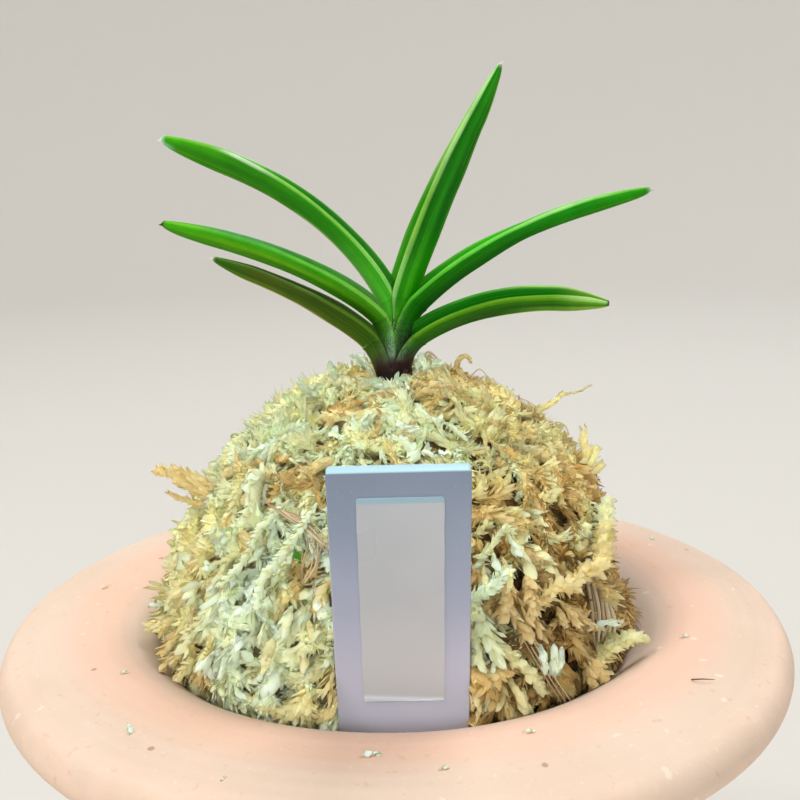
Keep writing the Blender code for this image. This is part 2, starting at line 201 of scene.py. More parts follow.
def moss_material():
    """Colour from each leaf's place in a chart: across, the tone from brown to mint white; up, from a leaf's foot,
    darkened as painted shade down among the leaves, to its pale tip."""
    m = Mat("sphagnum")
    u, v, _ = m.split(m.uv())
    tone = m.ramp(u, [(p, lin(*c)) for p, c in MOSS_TONES])
    # painted shade: a leaf's foot is multiplied darker, as shade between the leaves
    foot = m.mix(1.0, tone, lin(226, 208, 166), "MULTIPLY")
    col = m.mix(m.between(v, 0.0, 0.5), foot, tone)
    col = m.mix(m.between(v, 0.62, 1.0, 0.0, 0.40), col, m.mix(0.5, tone, lin(246, 246, 226)))
    m.set(base_color=col, roughness=0.7)
    m.b.subsurface_method = "BURLEY"
    m.b.inputs["Subsurface Weight"].default_value = 0.65
    m.b.inputs["Subsurface Radius"].default_value = (1.0, 0.97, 0.7)
    m.b.inputs["Subsurface Scale"].default_value = 0.0015
    m.b.inputs["Specular IOR Level"].default_value = 0.25
    return m.m


def stalk_material():
    """Bare moss stalks: grey-beige, from shaded brown to straw."""
    m = Mat("moss_stalk")
    u, v, _ = m.split(m.uv())
    p = m.obj()
    a = m.noise(p, 900, 2, 0.5)
    tone = m.ramp(m.math("ADD", u, m.math("MULTIPLY", m.math("SUBTRACT", a, 0.5), 0.25)),
                  [(0.0, lin(78, 58, 42)), (0.25, lin(150, 122, 94)), (0.5, lin(188, 164, 130)), (0.75, lin(214, 196, 160)), (1.0, lin(226, 218, 190))])
    m.set(base_color=tone, roughness=0.55)
    m.b.inputs["Specular IOR Level"].default_value = 0.3
    return m.m


def moss_bed_material():
    m = Mat("sphagnum_core")
    p = m.obj()
    a = m.noise(p, 260, 4, 0.6, 0.4)
    b = m.noise(m.vmath("MULTIPLY", p, (1.0, 1.0, 0.35)), 1400, 3, 0.6)
    # painted shade: the core that shows between the strands is painted dark, so that the gaps read as deep shade
    col = m.ramp(m.math("ADD", m.math("MULTIPLY", a, 0.65), m.math("MULTIPLY", b, 0.45)),
                 [(0.30, lin(84, 62, 36)), (0.46, lin(134, 106, 66)), (0.58, lin(178, 152, 104)), (0.72, lin(206, 192, 144))])
    x, _, _ = m.split(p)
    # paler on the left, and darker still on the right, the side of the dome painted as shaded
    pale = m.mix(0.40, col, lin(200, 194, 148))
    col = m.mix(m.between(x, -0.002, 0.010), pale, m.mix(1.0, col, lin(222, 206, 178), "MULTIPLY"))
    m.set(base_color=col, roughness=0.85, normal=m.bump(m.math("ADD", a, b), 0.8, 0.0006))
    m.b.inputs["Specular IOR Level"].default_value = 0.2
    return m.m


# Colours round a leaf's section, at stations from its joint to its tip. Beside each leaf's own stripes they hold
# painted light: the pale near margins and the white band of the upper left leaf are partly painted highlight, the
# grey-green far side of the middle left leaf is a painted reflection, the lower flanks are mostly darker as painted
# shade, and the whole lower left leaf is painted dark as shade under the leaf above it.
# keel, low, middle and high of the flank, the near margin, the inner face of the far flank, the far margin, band width
LEAF_PAINT = {
    "leaf_left_upper": dict(tip=(226, 244, 226), mint=(130, 204, 140), stations=[
        (0.00, (168, 196, 128), (96, 200, 60), (88, 204, 50), (66, 180, 34), (150, 228, 110), (22, 128, 8), (72, 170, 28), 0.9),
        (0.36, (198, 200, 140), (46, 146, 14), (34, 136, 4), (44, 152, 10), (128, 204, 70), (14, 122, 4), (70, 166, 24), 0.6),
        (0.50, (110, 150, 50), (46, 138, 10), (36, 132, 3), (48, 152, 8), (134, 208, 76), (40, 150, 20), (90, 178, 44), 0.7),
        (0.68, (92, 138, 28), (46, 132, 6), (38, 128, 2), (52, 150, 6), (212, 242, 200), (100, 190, 70), (180, 232, 156), 1.0),
        (0.80, (70, 138, 20), (52, 138, 6), (48, 138, 2), (62, 168, 6), (120, 202, 60), (84, 184, 34), (130, 206, 76), 1.0),
        (0.92, (84, 158, 40), (58, 148, 8), (50, 148, 2), (66, 180, 6), (108, 206, 44), (84, 190, 34), (126, 206, 70), 1.3)]),
    "leaf_right_upper": dict(tip=(236, 226, 208), stations=[
        (0.00, (84, 164, 30), (40, 168, 4), (74, 196, 28), (32, 150, 4), (150, 220, 116), (56, 156, 18), (80, 170, 30), 1.7),
        (0.34, (74, 150, 28), (8, 112, 2), (36, 150, 16), (12, 116, 2), (130, 196, 70), (48, 146, 10), (78, 164, 20), 1.6),
        (0.66, (88, 144, 36), (8, 112, 2), (32, 146, 14), (12, 116, 2), (176, 232, 140), (150, 214, 100), (188, 232, 134), 1.9),
        (0.92, (112, 170, 50), (38, 140, 8), (52, 162, 22), (22, 134, 6), (176, 236, 146), (150, 220, 110), (190, 230, 140), 1.8)]),
    "leaf_right_middle": dict(tip=(206, 210, 190), stations=[
        (0.00, (36, 110, 4), (4, 96, 0), (6, 112, 1), (18, 132, 2), (84, 196, 40), (26, 146, 2), (76, 176, 28), 0.7),
        (0.34, (30, 106, 2), (4, 106, 0), (6, 122, 1), (16, 140, 2), (116, 226, 76), (52, 190, 14), (112, 208, 66), 0.9),
        (0.66, (44, 124, 6), (16, 132, 2), (14, 146, 1), (26, 160, 4), (166, 236, 136), (140, 214, 110), (170, 220, 150), 1.2),
        (0.90, (76, 140, 20), (44, 146, 6), (30, 158, 2), (40, 172, 6), (112, 200, 60), (84, 190, 36), (180, 226, 140), 1.0)]),
    "leaf_right_lower": dict(tip=(238, 238, 226), dot=(54, 50, 74), stations=[
        (0.00, (60, 130, 10), (22, 112, 2), (20, 112, 1), (38, 128, 2), (96, 158, 22), (4, 126, 0), (60, 156, 30), 1.2),
        (0.34, (64, 122, 14), (8, 94, 0), (8, 92, 0), (34, 124, 2), (92, 156, 20), (2, 124, 0), (70, 168, 36), 1.5),
        (0.66, (176, 208, 116), (84, 162, 20), (14, 96, 0), (52, 138, 4), (104, 168, 26), (6, 130, 0), (156, 216, 110), 1.9),
        (0.90, (206, 226, 158), (150, 208, 88), (76, 150, 12), (108, 188, 40), (172, 224, 126), (104, 160, 34), (190, 222, 138), 2.1)]),
    "leaf_left_middle": dict(tip=(44, 28, 14), stations=[
        (0.00, (58, 104, 6), (46, 108, 4), (60, 134, 8), (70, 158, 14), (134, 212, 76), (84, 150, 66), (100, 166, 84), 1.3),
        (0.34, (46, 112, 4), (54, 136, 4), (104, 178, 10), (60, 168, 6), (110, 206, 66), (64, 160, 44), (100, 178, 92), 0.8),
        (0.66, (58, 122, 6), (66, 146, 4), (110, 186, 10), (66, 180, 8), (90, 190, 66), (98, 184, 100), (120, 194, 124), 1.1),
        (0.90, (84, 148, 24), (64, 150, 6), (76, 184, 6), (72, 184, 8), (110, 206, 44), (104, 198, 62), (176, 224, 106), 1.2)]),
    "leaf_left_lower": dict(tip=(236, 236, 216), stations=[
        (0.00, (150, 138, 76), (70, 106, 12), (54, 94, 4), (54, 92, 2), (80, 124, 26), (50, 84, 4), (76, 112, 26), 0.8),
        (0.34, (186, 170, 112), (84, 108, 16), (52, 80, 4), (58, 82, 4), (90, 118, 34), (52, 78, 4), (78, 106, 24), 0.7),
        (0.66, (176, 176, 104), (86, 112, 16), (64, 86, 4), (78, 98, 14), (88, 112, 34), (50, 78, 4), (82, 106, 24), 0.9),
        (0.92, (112, 152, 50), (62, 116, 8), (46, 100, 2), (54, 104, 6), (76, 126, 30), (46, 106, 4), (82, 128, 36), 1.0)]),
}


JOINT = 0.14        # where a blade starts on its base, along the chart


def leaf_material(name, paint, base):
    m = Mat(name)
    u, v, _ = m.split(m.uv())
    p = m.obj()
    _, _, z = m.split(p)
    wander = m.math("MULTIPLY", m.math("SUBTRACT", m.noise(m.join(m.math("MULTIPLY", v, 5.0), 0.0, 0.0), 1.0, 2, 0.5), 0.5), 0.016)
    u = m.math("ADD", u, wander)

    def section(keel, low, mid, high, marg, inner, farm, band):
        b = 0.011 * band
        return m.ramp(u, [(0.0, lin(*keel)), (0.018, lin(*keel)), (0.034, lin(*low)), (0.075, lin(*low)), (0.125, lin(*mid)),
                          (0.19, lin(*high)), (0.238 - b * 1.5, lin(*high)), (0.238 - b * 0.4, lin(*marg)),
                          (0.262 + b * 0.5, lin(*marg)), (0.268 + b * 1.2, lin(*mid)), (0.5, lin(*inner)),
                          (0.722, lin(*inner)), (0.742, lin(*farm)), (0.766, lin(*farm)), (0.80, lin(*high)),
                          (0.9, lin(*mid)), (0.966, lin(*low)), (0.985, lin(*keel))])
    # the base: leaf green at the joint, grey-green and spotted below, and a dried brown foot
    a = m.noise(p, 520, 3, 0.6)
    zz = m.math("ADD", z, m.math("MULTIPLY", m.math("SUBTRACT", a, 0.5), 0.0020))
    zz = m.math("ADD", zz, m.between(u, 0.12, 0.02, 0.0, base["drop"]))       # the foot stays green longer along the keel
    low = m.ramp(m.between(zz, 0.1200, 0.1262, smooth=False),
                 [(0.0, lin(40, 18, 18)), (0.16, lin(58, 28, 28)), (0.30, lin(76, 62, 54)), (0.50, lin(*base["low"])), (1.0, lin(*base["mid"]))])
    # the pale band along the base's near edge is partly its own pale margin and partly painted highlight
    edge = m.math("MULTIPLY", m.between(u, base["band"], base["band"] + 0.045), m.between(u, 0.34, 0.29))
    low = m.mix(m.math("MULTIPLY", edge, m.between(zz, 0.1212, 0.1230, 0.0, 0.92)), low, lin(*base["edge"]))
    col = low
    at = 0.045
    for st in paint["stations"]:
        here = JOINT + (1 - JOINT) * st[0]
        col = m.mix(m.between(v, at, here), col, section(*st[1:]))
        at = here + 0.02
    # fine veins along the leaf, and a soft mottling
    veins = m.noise(m.join(m.math("MULTIPLY", u, 150.0), m.math("MULTIPLY", v, 3.0), 0.0), 1.0, 3, 0.6)
    col = m.mix(m.between(veins, 0.36, 0.66, 0.0, 0.40), col, m.mix(1.0, col, lin(140, 160, 112), "MULTIPLY"))
    light = m.noise(m.join(m.math("MULTIPLY", u, 60.0), m.math("MULTIPLY", v, 1.6), 4.0), 1.0, 2, 0.5)
    col = m.mix(m.between(light, 0.55, 0.72, 0.0, 0.26), col, m.mix(0.5, col, lin(150, 220, 60)))
    thin = m.noise(m.join(m.math("MULTIPLY", u, 230.0), m.math("MULTIPLY", v, 2.2), 9.0), 1.0, 2, 0.5)
    col = m.mix(m.between(thin, 0.60, 0.70, 0.0, 0.22), col, m.mix(0.45, col, lin(170, 228, 110)))
    mott = m.noise(p, 420, 3, 0.6)
    col = m.mix(m.between(mott, 0.35, 0.7, 0.0, 0.16), col, lin(24, 84, 10))
    # purple dots on the base, most where it is greyest
    dot = m.between(m.noise(p, 7800, 1, 0.4), 0.50, 0.55)
    where = m.between(m.noise(p, 700, 2, 0.5), 0.34, 0.54)
    fade = m.math("MULTIPLY", m.between(v, JOINT + 0.012, JOINT - 0.035), m.between(z, 0.1285, 0.1262, 0.25, 1.0))
    col = m.mix(m.math("MULTIPLY", m.math("MULTIPLY", dot, where), m.math("MULTIPLY", fade, base["dots"])), col, lin(50, 26, 52))
    # the joint: a thin pale line, with a darker one under it
    jv = m.math("ADD", v, m.math("MULTIPLY", m.math("SUBTRACT", m.noise(p, 500, 2, 0.5), 0.5), 0.006))
    line = m.math("MULTIPLY", m.between(jv, JOINT - 0.0030, JOINT - 0.0008), m.between(jv, JOINT + 0.0030, JOINT + 0.0008))
    under = m.math("MULTIPLY", m.between(jv, JOINT - 0.014, JOINT - 0.004), m.between(jv, JOINT - 0.001, JOINT - 0.003))
    col = m.mix(m.math("MULTIPLY", under, 0.12 + 0.25 * base["line"]), col, m.mix(1.0, col, lin(110, 130, 100), "MULTIPLY"))
    col = m.mix(m.math("MULTIPLY", line, m.between(m.noise(p, 640, 2, 0.5), 0.42, 0.62, 0.0, 0.6 * base["line"])), col, lin(150, 196, 104))
    if "mint" in paint:
        col = m.mix(m.math("MULTIPLY", m.between(v, 0.925, 0.965, 0.0, 0.75), m.between(u, 0.15, 0.05)), col, lin(*paint["mint"]))
    if "dot" in paint:
        col = m.mix(m.math("MULTIPLY", m.between(v, 0.966, 0.978), 0.92), col, lin(*paint["dot"]))
        col = m.mix(m.between(v, 0.985, 0.992), col, lin(*paint["tip"]))
    else:
        col = m.mix(m.between(v, 0.962, 0.99), col, lin(*paint["tip"]))
    h = m.math("ADD", m.math("MULTIPLY", veins, 0.7), m.math("MULTIPLY", m.noise(p, 2600, 2, 0.5), 0.3))
    m.set(base_color=col, roughness=m.between(mott, 0.3, 0.7, 0.40, 0.52), normal=m.bump(h, 0.3, 0.00005))
    m.b.inputs["Specular IOR Level"].default_value = 0.11
    return m.m


def stem_material():
    m = Mat("stem_core")
    p = m.obj()
    a = m.noise(m.vmath("MULTIPLY", p, (1.0, 1.0, 0.3)), 1500, 4, 0.6)
    b = m.noise(p, 380, 2, 0.5)
    col = m.ramp(a, [(0.3, lin(28, 15, 15)), (0.5, lin(52, 30, 30)), (0.66, lin(74, 50, 46)), (0.80, lin(104, 84, 76))])
    col = m.mix(m.between(b, 0.55, 0.68, 0.0, 0.65), col, lin(96, 28, 22))
    m.set(base_color=col, roughness=0.5, normal=m.bump(a, 0.7, 0.00012))
    return m.m


def root_material():
    """Spongy white skin, with a fresh green tip where the root comes out of the moss."""
    m = Mat("root_skin")
    p = m.obj()
    a = m.noise(p, 900, 3, 0.6)
    col = m.mix(m.between(a, 0.35, 0.65), lin(196, 190, 168), lin(226, 222, 206))
    near = m.vmath("DISTANCE", p, (-0.0112, -0.0253, 0.1035))
    col = m.mix(m.between(near, 0.0052, 0.0034), col, m.mix(a, lin(42, 128, 16), lin(104, 184, 44)))
    m.set(base_color=col, roughness=m.between(near, 0.0034, 0.0052, 0.35, 0.8), normal=m.bump(a, 0.5, 0.0001))
    return m.m


def plastic_material():
    m = Mat("tag_plastic")
    p = m.obj()
    a = m.noise(p, 60, 2, 0.5)
    fine = m.noise(p, 1800, 3, 0.6)
    _, _, z = m.split(p)
    # painted light: the tag's face is painted lighter towards its bottom, where light bounces up from the rim, and
    # darker towards its top as painted shade
    col = m.ramp(m.between(z, 0.080, 0.118, smooth=False), [(0.0, lin(232, 236, 255)), (0.26, lin(206, 210, 232)), (0.53, lin(168, 176, 200)), (0.8, lin(140, 153, 176)), (1.0, lin(127, 141, 163))])
    col = m.mix(m.between(a, 0.35, 0.65, 0.0, 0.12), col, lin(190, 196, 214))
    col = m.mix(m.between(fine, 0.64, 0.74, 0.0, 0.18), col, lin(196, 202, 218))
    col = m.mix(m.between(z, 0.11715, 0.11735), col, lin(176, 214, 226))      # painted highlight: the sawn top edge, which faces the light above, is painted light and cool
    scuff = m.noise(m.vmath("MULTIPLY", p, (1.0, 1.0, 0.25)), 900, 2, 0.5)
    m.set(base_color=col, roughness=m.between(scuff, 0.35, 0.7, 0.30, 0.44), normal=m.bump(fine, 0.12, 0.00004))
    return m.m


def tape_material():
    m = Mat("tag_tape")
    u, v, _ = m.split(m.uv())
    p = m.obj()
    a = m.noise(p, 90, 2, 0.5)
    fine = m.noise(p, 2200, 2, 0.5)
    _, _, z = m.split(p)
    # painted light: the tape is painted lighter towards its bottom, where light bounces up from the rim, and darker
    # higher up as painted shade
    col = m.mix(m.between(z, 0.089, 0.104), lin(207, 211, 217), lin(183, 188, 194))
    col = m.mix(m.between(a, 0.35, 0.65, 0.0, 0.25), col, lin(206, 209, 214))
    col = m.mix(m.between(v, 0.966, 0.972), col, lin(156, 186, 202))
    col = m.mix(m.between(fine, 0.66, 0.74, 0.0, 0.2), col, lin(206, 202, 196))
    m.set(base_color=col, roughness=m.between(a, 0.3, 0.7, 0.26, 0.36), normal=m.bump(a, 0.25, 0.0004))
    return m.m


def plain(name, colour, rough):
    m = Mat(name)
    m.set(base_color=lin(*colour), roughness=rough)
    m.b.inputs["Specular IOR Level"].default_value = 0.2
    return m.m


# ---------------------------------------------------------------- meshes
def build(name, co, polys, mat, uv=None, loop_uv=None, smooth=True):
    """A mesh object from points in mm and lists of faces, each list an array of one face size."""
    me = bpy.data.meshes.new(name)
    co = np.asarray(co, np.float64) * MM
    polys = [np.asarray(p, np.int32) for p in polys if len(p)]
    loops = np.concatenate([p.ravel() for p in polys])
    sizes = np.concatenate([np.full(len(p), p.shape[1]) for p in polys])
    me.vertices.add(len(co))
    me.vertices.foreach_set("co", co.astype(np.float32).ravel())
    me.loops.add(len(loops))
    me.loops.foreach_set("vertex_index", loops)
    me.polygons.add(len(sizes))
    me.polygons.foreach_set("loop_start", np.concatenate([[0], np.cumsum(sizes)[:-1]]).astype(np.int32))
    me.update(calc_edges=True)
    me.polygons.foreach_set("use_smooth", np.full(len(sizes), smooth))
    if uv is not None or loop_uv is not None:
        layer = me.uv_layers.new(name="OFBake")
        data = loop_uv if loop_uv is not None else np.asarray(uv)[loops]
        layer.data.foreach_set("uv", np.asarray(data, np.float32).ravel())
    me.materials.append(mat)
    me.update()
    ob = bpy.data.objects.new(name, me)
    bpy.context.scene.collection.objects.link(ob)
    return ob


def done(ob, slot, *nodes):
    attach(ob, "root")
    if nodes:
        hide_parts(*nodes)
    return ob


def spline(pts, per, closed=False):
    """Catmull-Rom through the rows of pts."""
    pts = np.asarray(pts, float)
    n = len(pts)
    if closed:
        q = np.concatenate([pts[-1:], pts, pts[:2]])
        segs = n
    else:
        q = np.concatenate([[2 * pts[0] - pts[1]], pts, [2 * pts[-1] - pts[-2]]])
        segs = n - 1
    out = []
    for i in range(segs):
        a, b, c, d = q[i], q[i + 1], q[i + 2], q[i + 3]
        for k in range(per):
            t = k / per
            out.append(0.5 * (2 * b + (c - a) * t + (2 * a - 5 * b + 4 * c - d) * t * t + (3 * b - a - 3 * c + d) * t ** 3))
    if not closed:
        out.append(pts[-1])
    return np.array(out)


def loft(name, rings, mat, us, vs, tip=None, foot=None):
    """A skin over closed rings (R, M, 3). us has M + 1 values round a ring, and vs R values along."""
    rings = np.asarray(rings, float)
    R, M, _ = rings.shape
    co = rings.reshape(-1, 3)
    i, j = np.meshgrid(np.arange(R - 1), np.arange(M), indexing="ij")
    i, j = i.ravel(), j.ravel()
    k = (j + 1) % M
    quads = np.stack([i * M + j, i * M + k, (i + 1) * M + k, (i + 1) * M + j], 1)
    us, vs = np.asarray(us, float), np.asarray(vs, float)
    luv = [np.stack([us[j], vs[i], us[j + 1], vs[i], us[j + 1], vs[i + 1], us[j], vs[i + 1]], 1).reshape(-1, 2)]
    polys, tris = [quads], []
    jj = np.arange(M)
    kk = (jj + 1) % M
    if tip is not None:
        co = np.vstack([co, [tip]])
        base = (R - 1) * M
        tris.append(np.stack([base + jj, base + kk, np.full(M, len(co) - 1)], 1))
        luv.append(np.stack([us[jj], np.full(M, vs[-1]), us[jj + 1], np.full(M, vs[-1]), (us[jj] + us[jj + 1]) / 2, np.ones(M)], 1).reshape(-1, 2))
    if foot is not None:
        co = np.vstack([co, [foot]])
        tris.append(np.stack([kk, jj, np.full(M, len(co) - 1)], 1))
        luv.append(np.stack([us[jj + 1], np.full(M, vs[0]), us[jj], np.full(M, vs[0]), (us[jj] + us[jj + 1]) / 2, np.full(M, vs[0])], 1).reshape(-1, 2))
    if tris:
        polys.append(np.vstack(tris))
    return build(name, co, polys, mat, loop_uv=np.vstack(luv))


# ---------------------------------------------------------------- pot
def arc(cx, cz, r, a0, a1, n):
    return [(cx + r * math.cos(math.radians(a0 + (a1 - a0) * i / n)), cz + r * math.sin(math.radians(a0 + (a1 - a0) * i / n)))
            for i in range(n + 1)]


def pot_outline():
    """Half section of the pot, from the lip's crest out, down and back up inside."""
    top = spline([(39.8, 88.0), (44.6, 87.72), (47.6, 87.2), (49.49, 86.67)], 7)
    edge = np.array(arc(49.0, 83.2, 3.5, 80, -70, 16))
    under = spline([(50.2, 79.91), (48.6, 79.2), (46.4, 78.6), (43.8, 78.0), (41.0, 77.2), (38.8, 76.3), (37.2, 75.4), (36.1, 74.3),
                    (35.6, 73.0), (35.7, 70.5), (35.9, 68.0), (36.3, 63.0), (36.4, 58.0), (36.3, 50.0), (35.9, 42.0), (35.2, 34.0),
                    (34.2, 26.0), (33.0, 18.5), (31.8, 12.0), (31.2, 8.0), (30.9, 5.0), (30.6, 2.4), (30.2, 0.9)], 2)
    foot = spline([(30.2, 0.9), (29.9, 0.25), (29.3, 0.0)], 3)
    sole = spline([(29.3, 0.0), (26.8, 0.0), (24.2, 0.0)], 1)
    recess = [(23.8, 0.2), (23.6, 0.6), (23.4, 2.2), (23.1, 3.2), (22.6, 3.4), (17.0, 3.4), (11.2, 3.4), (10.5, 3.6), (10.1, 4.0),
              (10.0, 5.0), (10.0, 7.2), (10.15, 8.0), (10.6, 8.5), (11.4, 8.6), (17.0, 8.6), (22.6, 8.6), (24.4, 9.2), (25.8, 10.4),
              (26.6, 13.0), (27.6, 18.0)]
    inner = spline([(28.6, 24.0), (29.5, 33.0), (30.2, 42.0), (30.5, 50.0), (30.6, 58.0), (30.4, 64.0), (30.2, 68.0)], 2)
    lip = arc(39.8, 77.7, 10.3, 196, 93, 26)
    return np.vstack([top, edge[1:], under[1:], foot[1:], sole[1:], recess, inner, lip])


def make_pot():
    prof = pot_outline()
    S = 200
    th = np.arange(S) / S * 2 * np.pi
    r, z = prof[:, 0][:, None], prof[:, 1][:, None]
    t = th[None, :]
    # the slight unevenness that a hand leaves, none at the sole or the drain hole
    free = np.clip((z - 2.0) / 12.0, 0, 1) * np.clip((r - 12.0) / 10.0, 0, 1)
    wob = (0.10 * np.sin(2 * t + 0.8) + 0.06 * np.sin(3 * t + 2.1 + z * 0.03) + 0.035 * np.sin(7 * t + z * 0.11 + 1.3)
           + 0.02 * np.sin(13 * t + 0.4 + r * 0.2))
    rim = np.clip((r - 38.0) / 8.0, 0, 1) * np.clip((z - 80.0) / 4.0, 0, 1)
    dz = rim * (0.10 * np.sin(3 * t + 1.1) + 0.05 * np.sin(5 * t + 2.6) + 0.025 * np.sin(11 * t))
    groove = 0.035 * np.sin(r * 3.1 + 0.4 * np.sin(2 * t)) * np.clip((z - 80) / 4, 0, 1)
    groove = groove + 0.05 * np.sin(z * 1.7 + 0.3 * np.sin(3 * t)) * np.clip((70 - z) / 8, 0, 1) * np.clip((r - 28) / 2, 0, 1) * np.clip((z - 6) / 6, 0, 1)
    rr = r + free * wob * 0.9 + groove * 0.4
    rr = np.minimum(rr, 52.62)
    zz = z + dz + groove * np.clip((z - 82) / 3, 0, 1)
    co = np.stack([rr * np.cos(t), rr * np.sin(t), zz + 0 * t], -1)
    P = len(prof)
    i, j = np.meshgrid(np.arange(P), np.arange(S), indexing="ij")
    i, j = i.ravel(), j.ravel()
    i2, j2 = (i + 1) % P, (j + 1) % S
    quads = np.stack([i * S + j, i2 * S + j, i2 * S + j2, i * S + j2], 1)
    ob = build("pot_body", co.reshape(-1, 3), [quads], clay_material())
    return done(ob, "bisque_clay", "pot")


# ---------------------------------------------------------------- leaves
LEAVES = {
    "leaf_right_upper": dict(base=(1.86, 129.8), rise=(76.9, 61.6), bend=.35, length=31.8, depth=1.0, widths=(3.8, 3.9, 3.6, 2.6, 1.3)),
    "leaf_left_upper": dict(base=(-0.1, 129.5), rise=(114, 166.9), bend=.72, length=36.5, depth=3.0, widths=(3.05, 2.9, 2.87, 3.0, 2.1)),
    "leaf_right_middle": dict(base=(3.9, 129.1), rise=(43.5, 8.7), bend=.81, length=33.2, depth=-1.0, widths=(3.2, 2.8, 2.0, 2.0, 1.5)),
    "leaf_left_middle": dict(base=(-1.2, 127.0), rise=(127.5, 167.6), bend=.45, length=30.6, depth=-2.0, widths=(2.7, 2.7, 2.5, 2.3, 1.7)),
    "leaf_right_lower": dict(base=(3.9, 124.4), rise=(36.3, -11.2), bend=.77, length=25.1, depth=-4.0, widths=(3.1, 3.2, 3.3, 3.0, 1.7)),
    "leaf_left_lower": dict(base=(-2.4, 123.8), rise=(123, 160.8), bend=.31, length=23.6, depth=2.0, widths=(2.8, 2.9, 2.3, 2.0, 1.2)),
}
FOLD = math.radians(26.0)


def unit(v):
    v = np.asarray(v, float)
    return v / np.linalg.norm(v, axis=-1, keepdims=True)


def leaf_frames(spec, ss, roll_of):
    a0, a1 = (math.radians(a) for a in spec["rise"])
    length, bend = spec["length"], spec["bend"]
    left = a0 > math.pi / 2
    fine = 480
    x, z = spec["base"]
    path = []
    for i in range(fine + 1):
        s = i / fine
        a = a0 + (a1 - a0) * s ** bend
        path.append((x, z, a))
        x += math.cos(a) * length / fine
        z += math.sin(a) * length / fine
    path = np.array(path)
    out = []
    for s in ss:
        if s < 0:
            px, pz, a = spec["base"][0] + math.cos(a0) * s * length, spec["base"][1] + math.sin(a0) * s * length, a0
        else:
            px, pz, a = (np.interp(s * fine, np.arange(fine + 1), path[:, k]) for k in range(3))
        y = spec["depth"] * max(s, 0.0) ** 1.15
        along = unit((math.cos(a), spec["depth"] / length, math.sin(a)))
        up = np.array((math.sin(a), 0, -math.cos(a))) if left else np.array((-math.sin(a), 0, math.cos(a)))
        front = np.array((0.0, -1.0, 0.0))
        front = unit(front - along * front.dot(along))
        roll = math.radians(roll_of(max(0.0, s)))
        up, front = up * math.cos(roll) + front * math.sin(roll), front * math.cos(roll) - up * math.sin(roll)
        out.append((np.array((px, y, pz)), along, up, front))
    return out


def leaf_width(spec, s):
    w = np.asarray(spec["widths"])
    t = min(max(s, 0.0), 0.999) * (len(w) - 1)
    i = int(t)
    f = t - i
    f = f * f * (3 - 2 * f) * 0.5 + f * 0.5
    body = w[i] + (w[i + 1] - w[i]) * f
    return body * math.sqrt(max(0.0, 1 - max(s, 0.0) ** 14)) * (0.84 if s < -0.04 else 1.0)


def fold_section(w, thick, spread=1.0, keel_round=0.16):
    """The folded blade's section as closed points (height in the fold plane, distance to the front) and where each
    stands round it, from 0 at the keel over the near flank, margin and groove to the far flank."""
    arm = w / math.cos(FOLD) * 0.93
    n0 = -w * 0.5

    def on(u, inward):
        return (n0 + u * arm * math.cos(FOLD) + inward * math.sin(FOLD), (u * arm * math.sin(FOLD) - inward * math.cos(FOLD)) * spread)
    k = keel_round * min(1.0, w / 2.5)
    half = [((n0 - 0.02, 0.0), 0.0), ((n0 + 0.04, k), 0.016), (on(0.16, -0.05), 0.042), (on(0.42, -0.12), 0.10),
            (on(0.70, -0.10), 0.165), (on(0.93, -0.03), 0.222), (on(1.02, 0.10 * thick / 0.6), 0.24), (on(1.045, thick * 0.5), 0.25),
            (on(1.01, thick * 0.9), 0.26), (on(0.92, thick * 1.05), 0.278), (on(0.66, thick * 1.08), 0.36)]
    groove_n = n0 + thick / math.sin(FOLD) * 0.86
    groove = ((groove_n, 0.0), 0.5)
    front = [p for p, _ in half]
    pts = front + [((groove_n * 0.45 + on(0.66, thick)[0] * 0.55), on(0.66, thick * 1.08)[1] * 0.5)] + [groove[0]]
    us = [u for _, u in half] + [0.43] + [0.5]
    back = [(p[0], -p[1]) for p in pts[1:-1]][::-1]
    bus = [1 - u for u in us[1:-1]][::-1]
    return np.array(pts + back), np.array(us + bus)


def section_ring(w, thick, per=2, spread=1.0):
    """The smoothed section, and its places round the leaf with a last one at 1."""
    pts, us = fold_section(w, thick, spread)
    ring = spline(pts, per, closed=True)
    uu = np.append(us, 1.0)
    places = np.array([uu[i] + (uu[i + 1] - uu[i]) * k / per for i in range(len(us)) for k in range(per)])
    return ring, np.append(places, 1.0)


# How far a leaf is turned to the front along its length: (place, degrees).
ROLLS = {
    "leaf_right_upper": [(0, 14), (0.3, 12), (0.6, 5), (0.85, 1), (1, 0)],
    "leaf_left_upper": [(0, 19), (0.35, 17), (0.55, 10), (0.72, 0), (1, -4)],
    "leaf_right_middle": [(0, 17), (0.3, 14), (0.55, 4), (0.75, -2), (1, -2)],
    "leaf_left_middle": [(0, 16), (0.4, 13), (0.7, 6), (1, 2)],
    "leaf_right_lower": [(0, 30), (0.3, 28), (0.7, 27), (1, 22)],
    "leaf_left_lower": [(0, 10), (0.5, 9), (1, 4)],
}
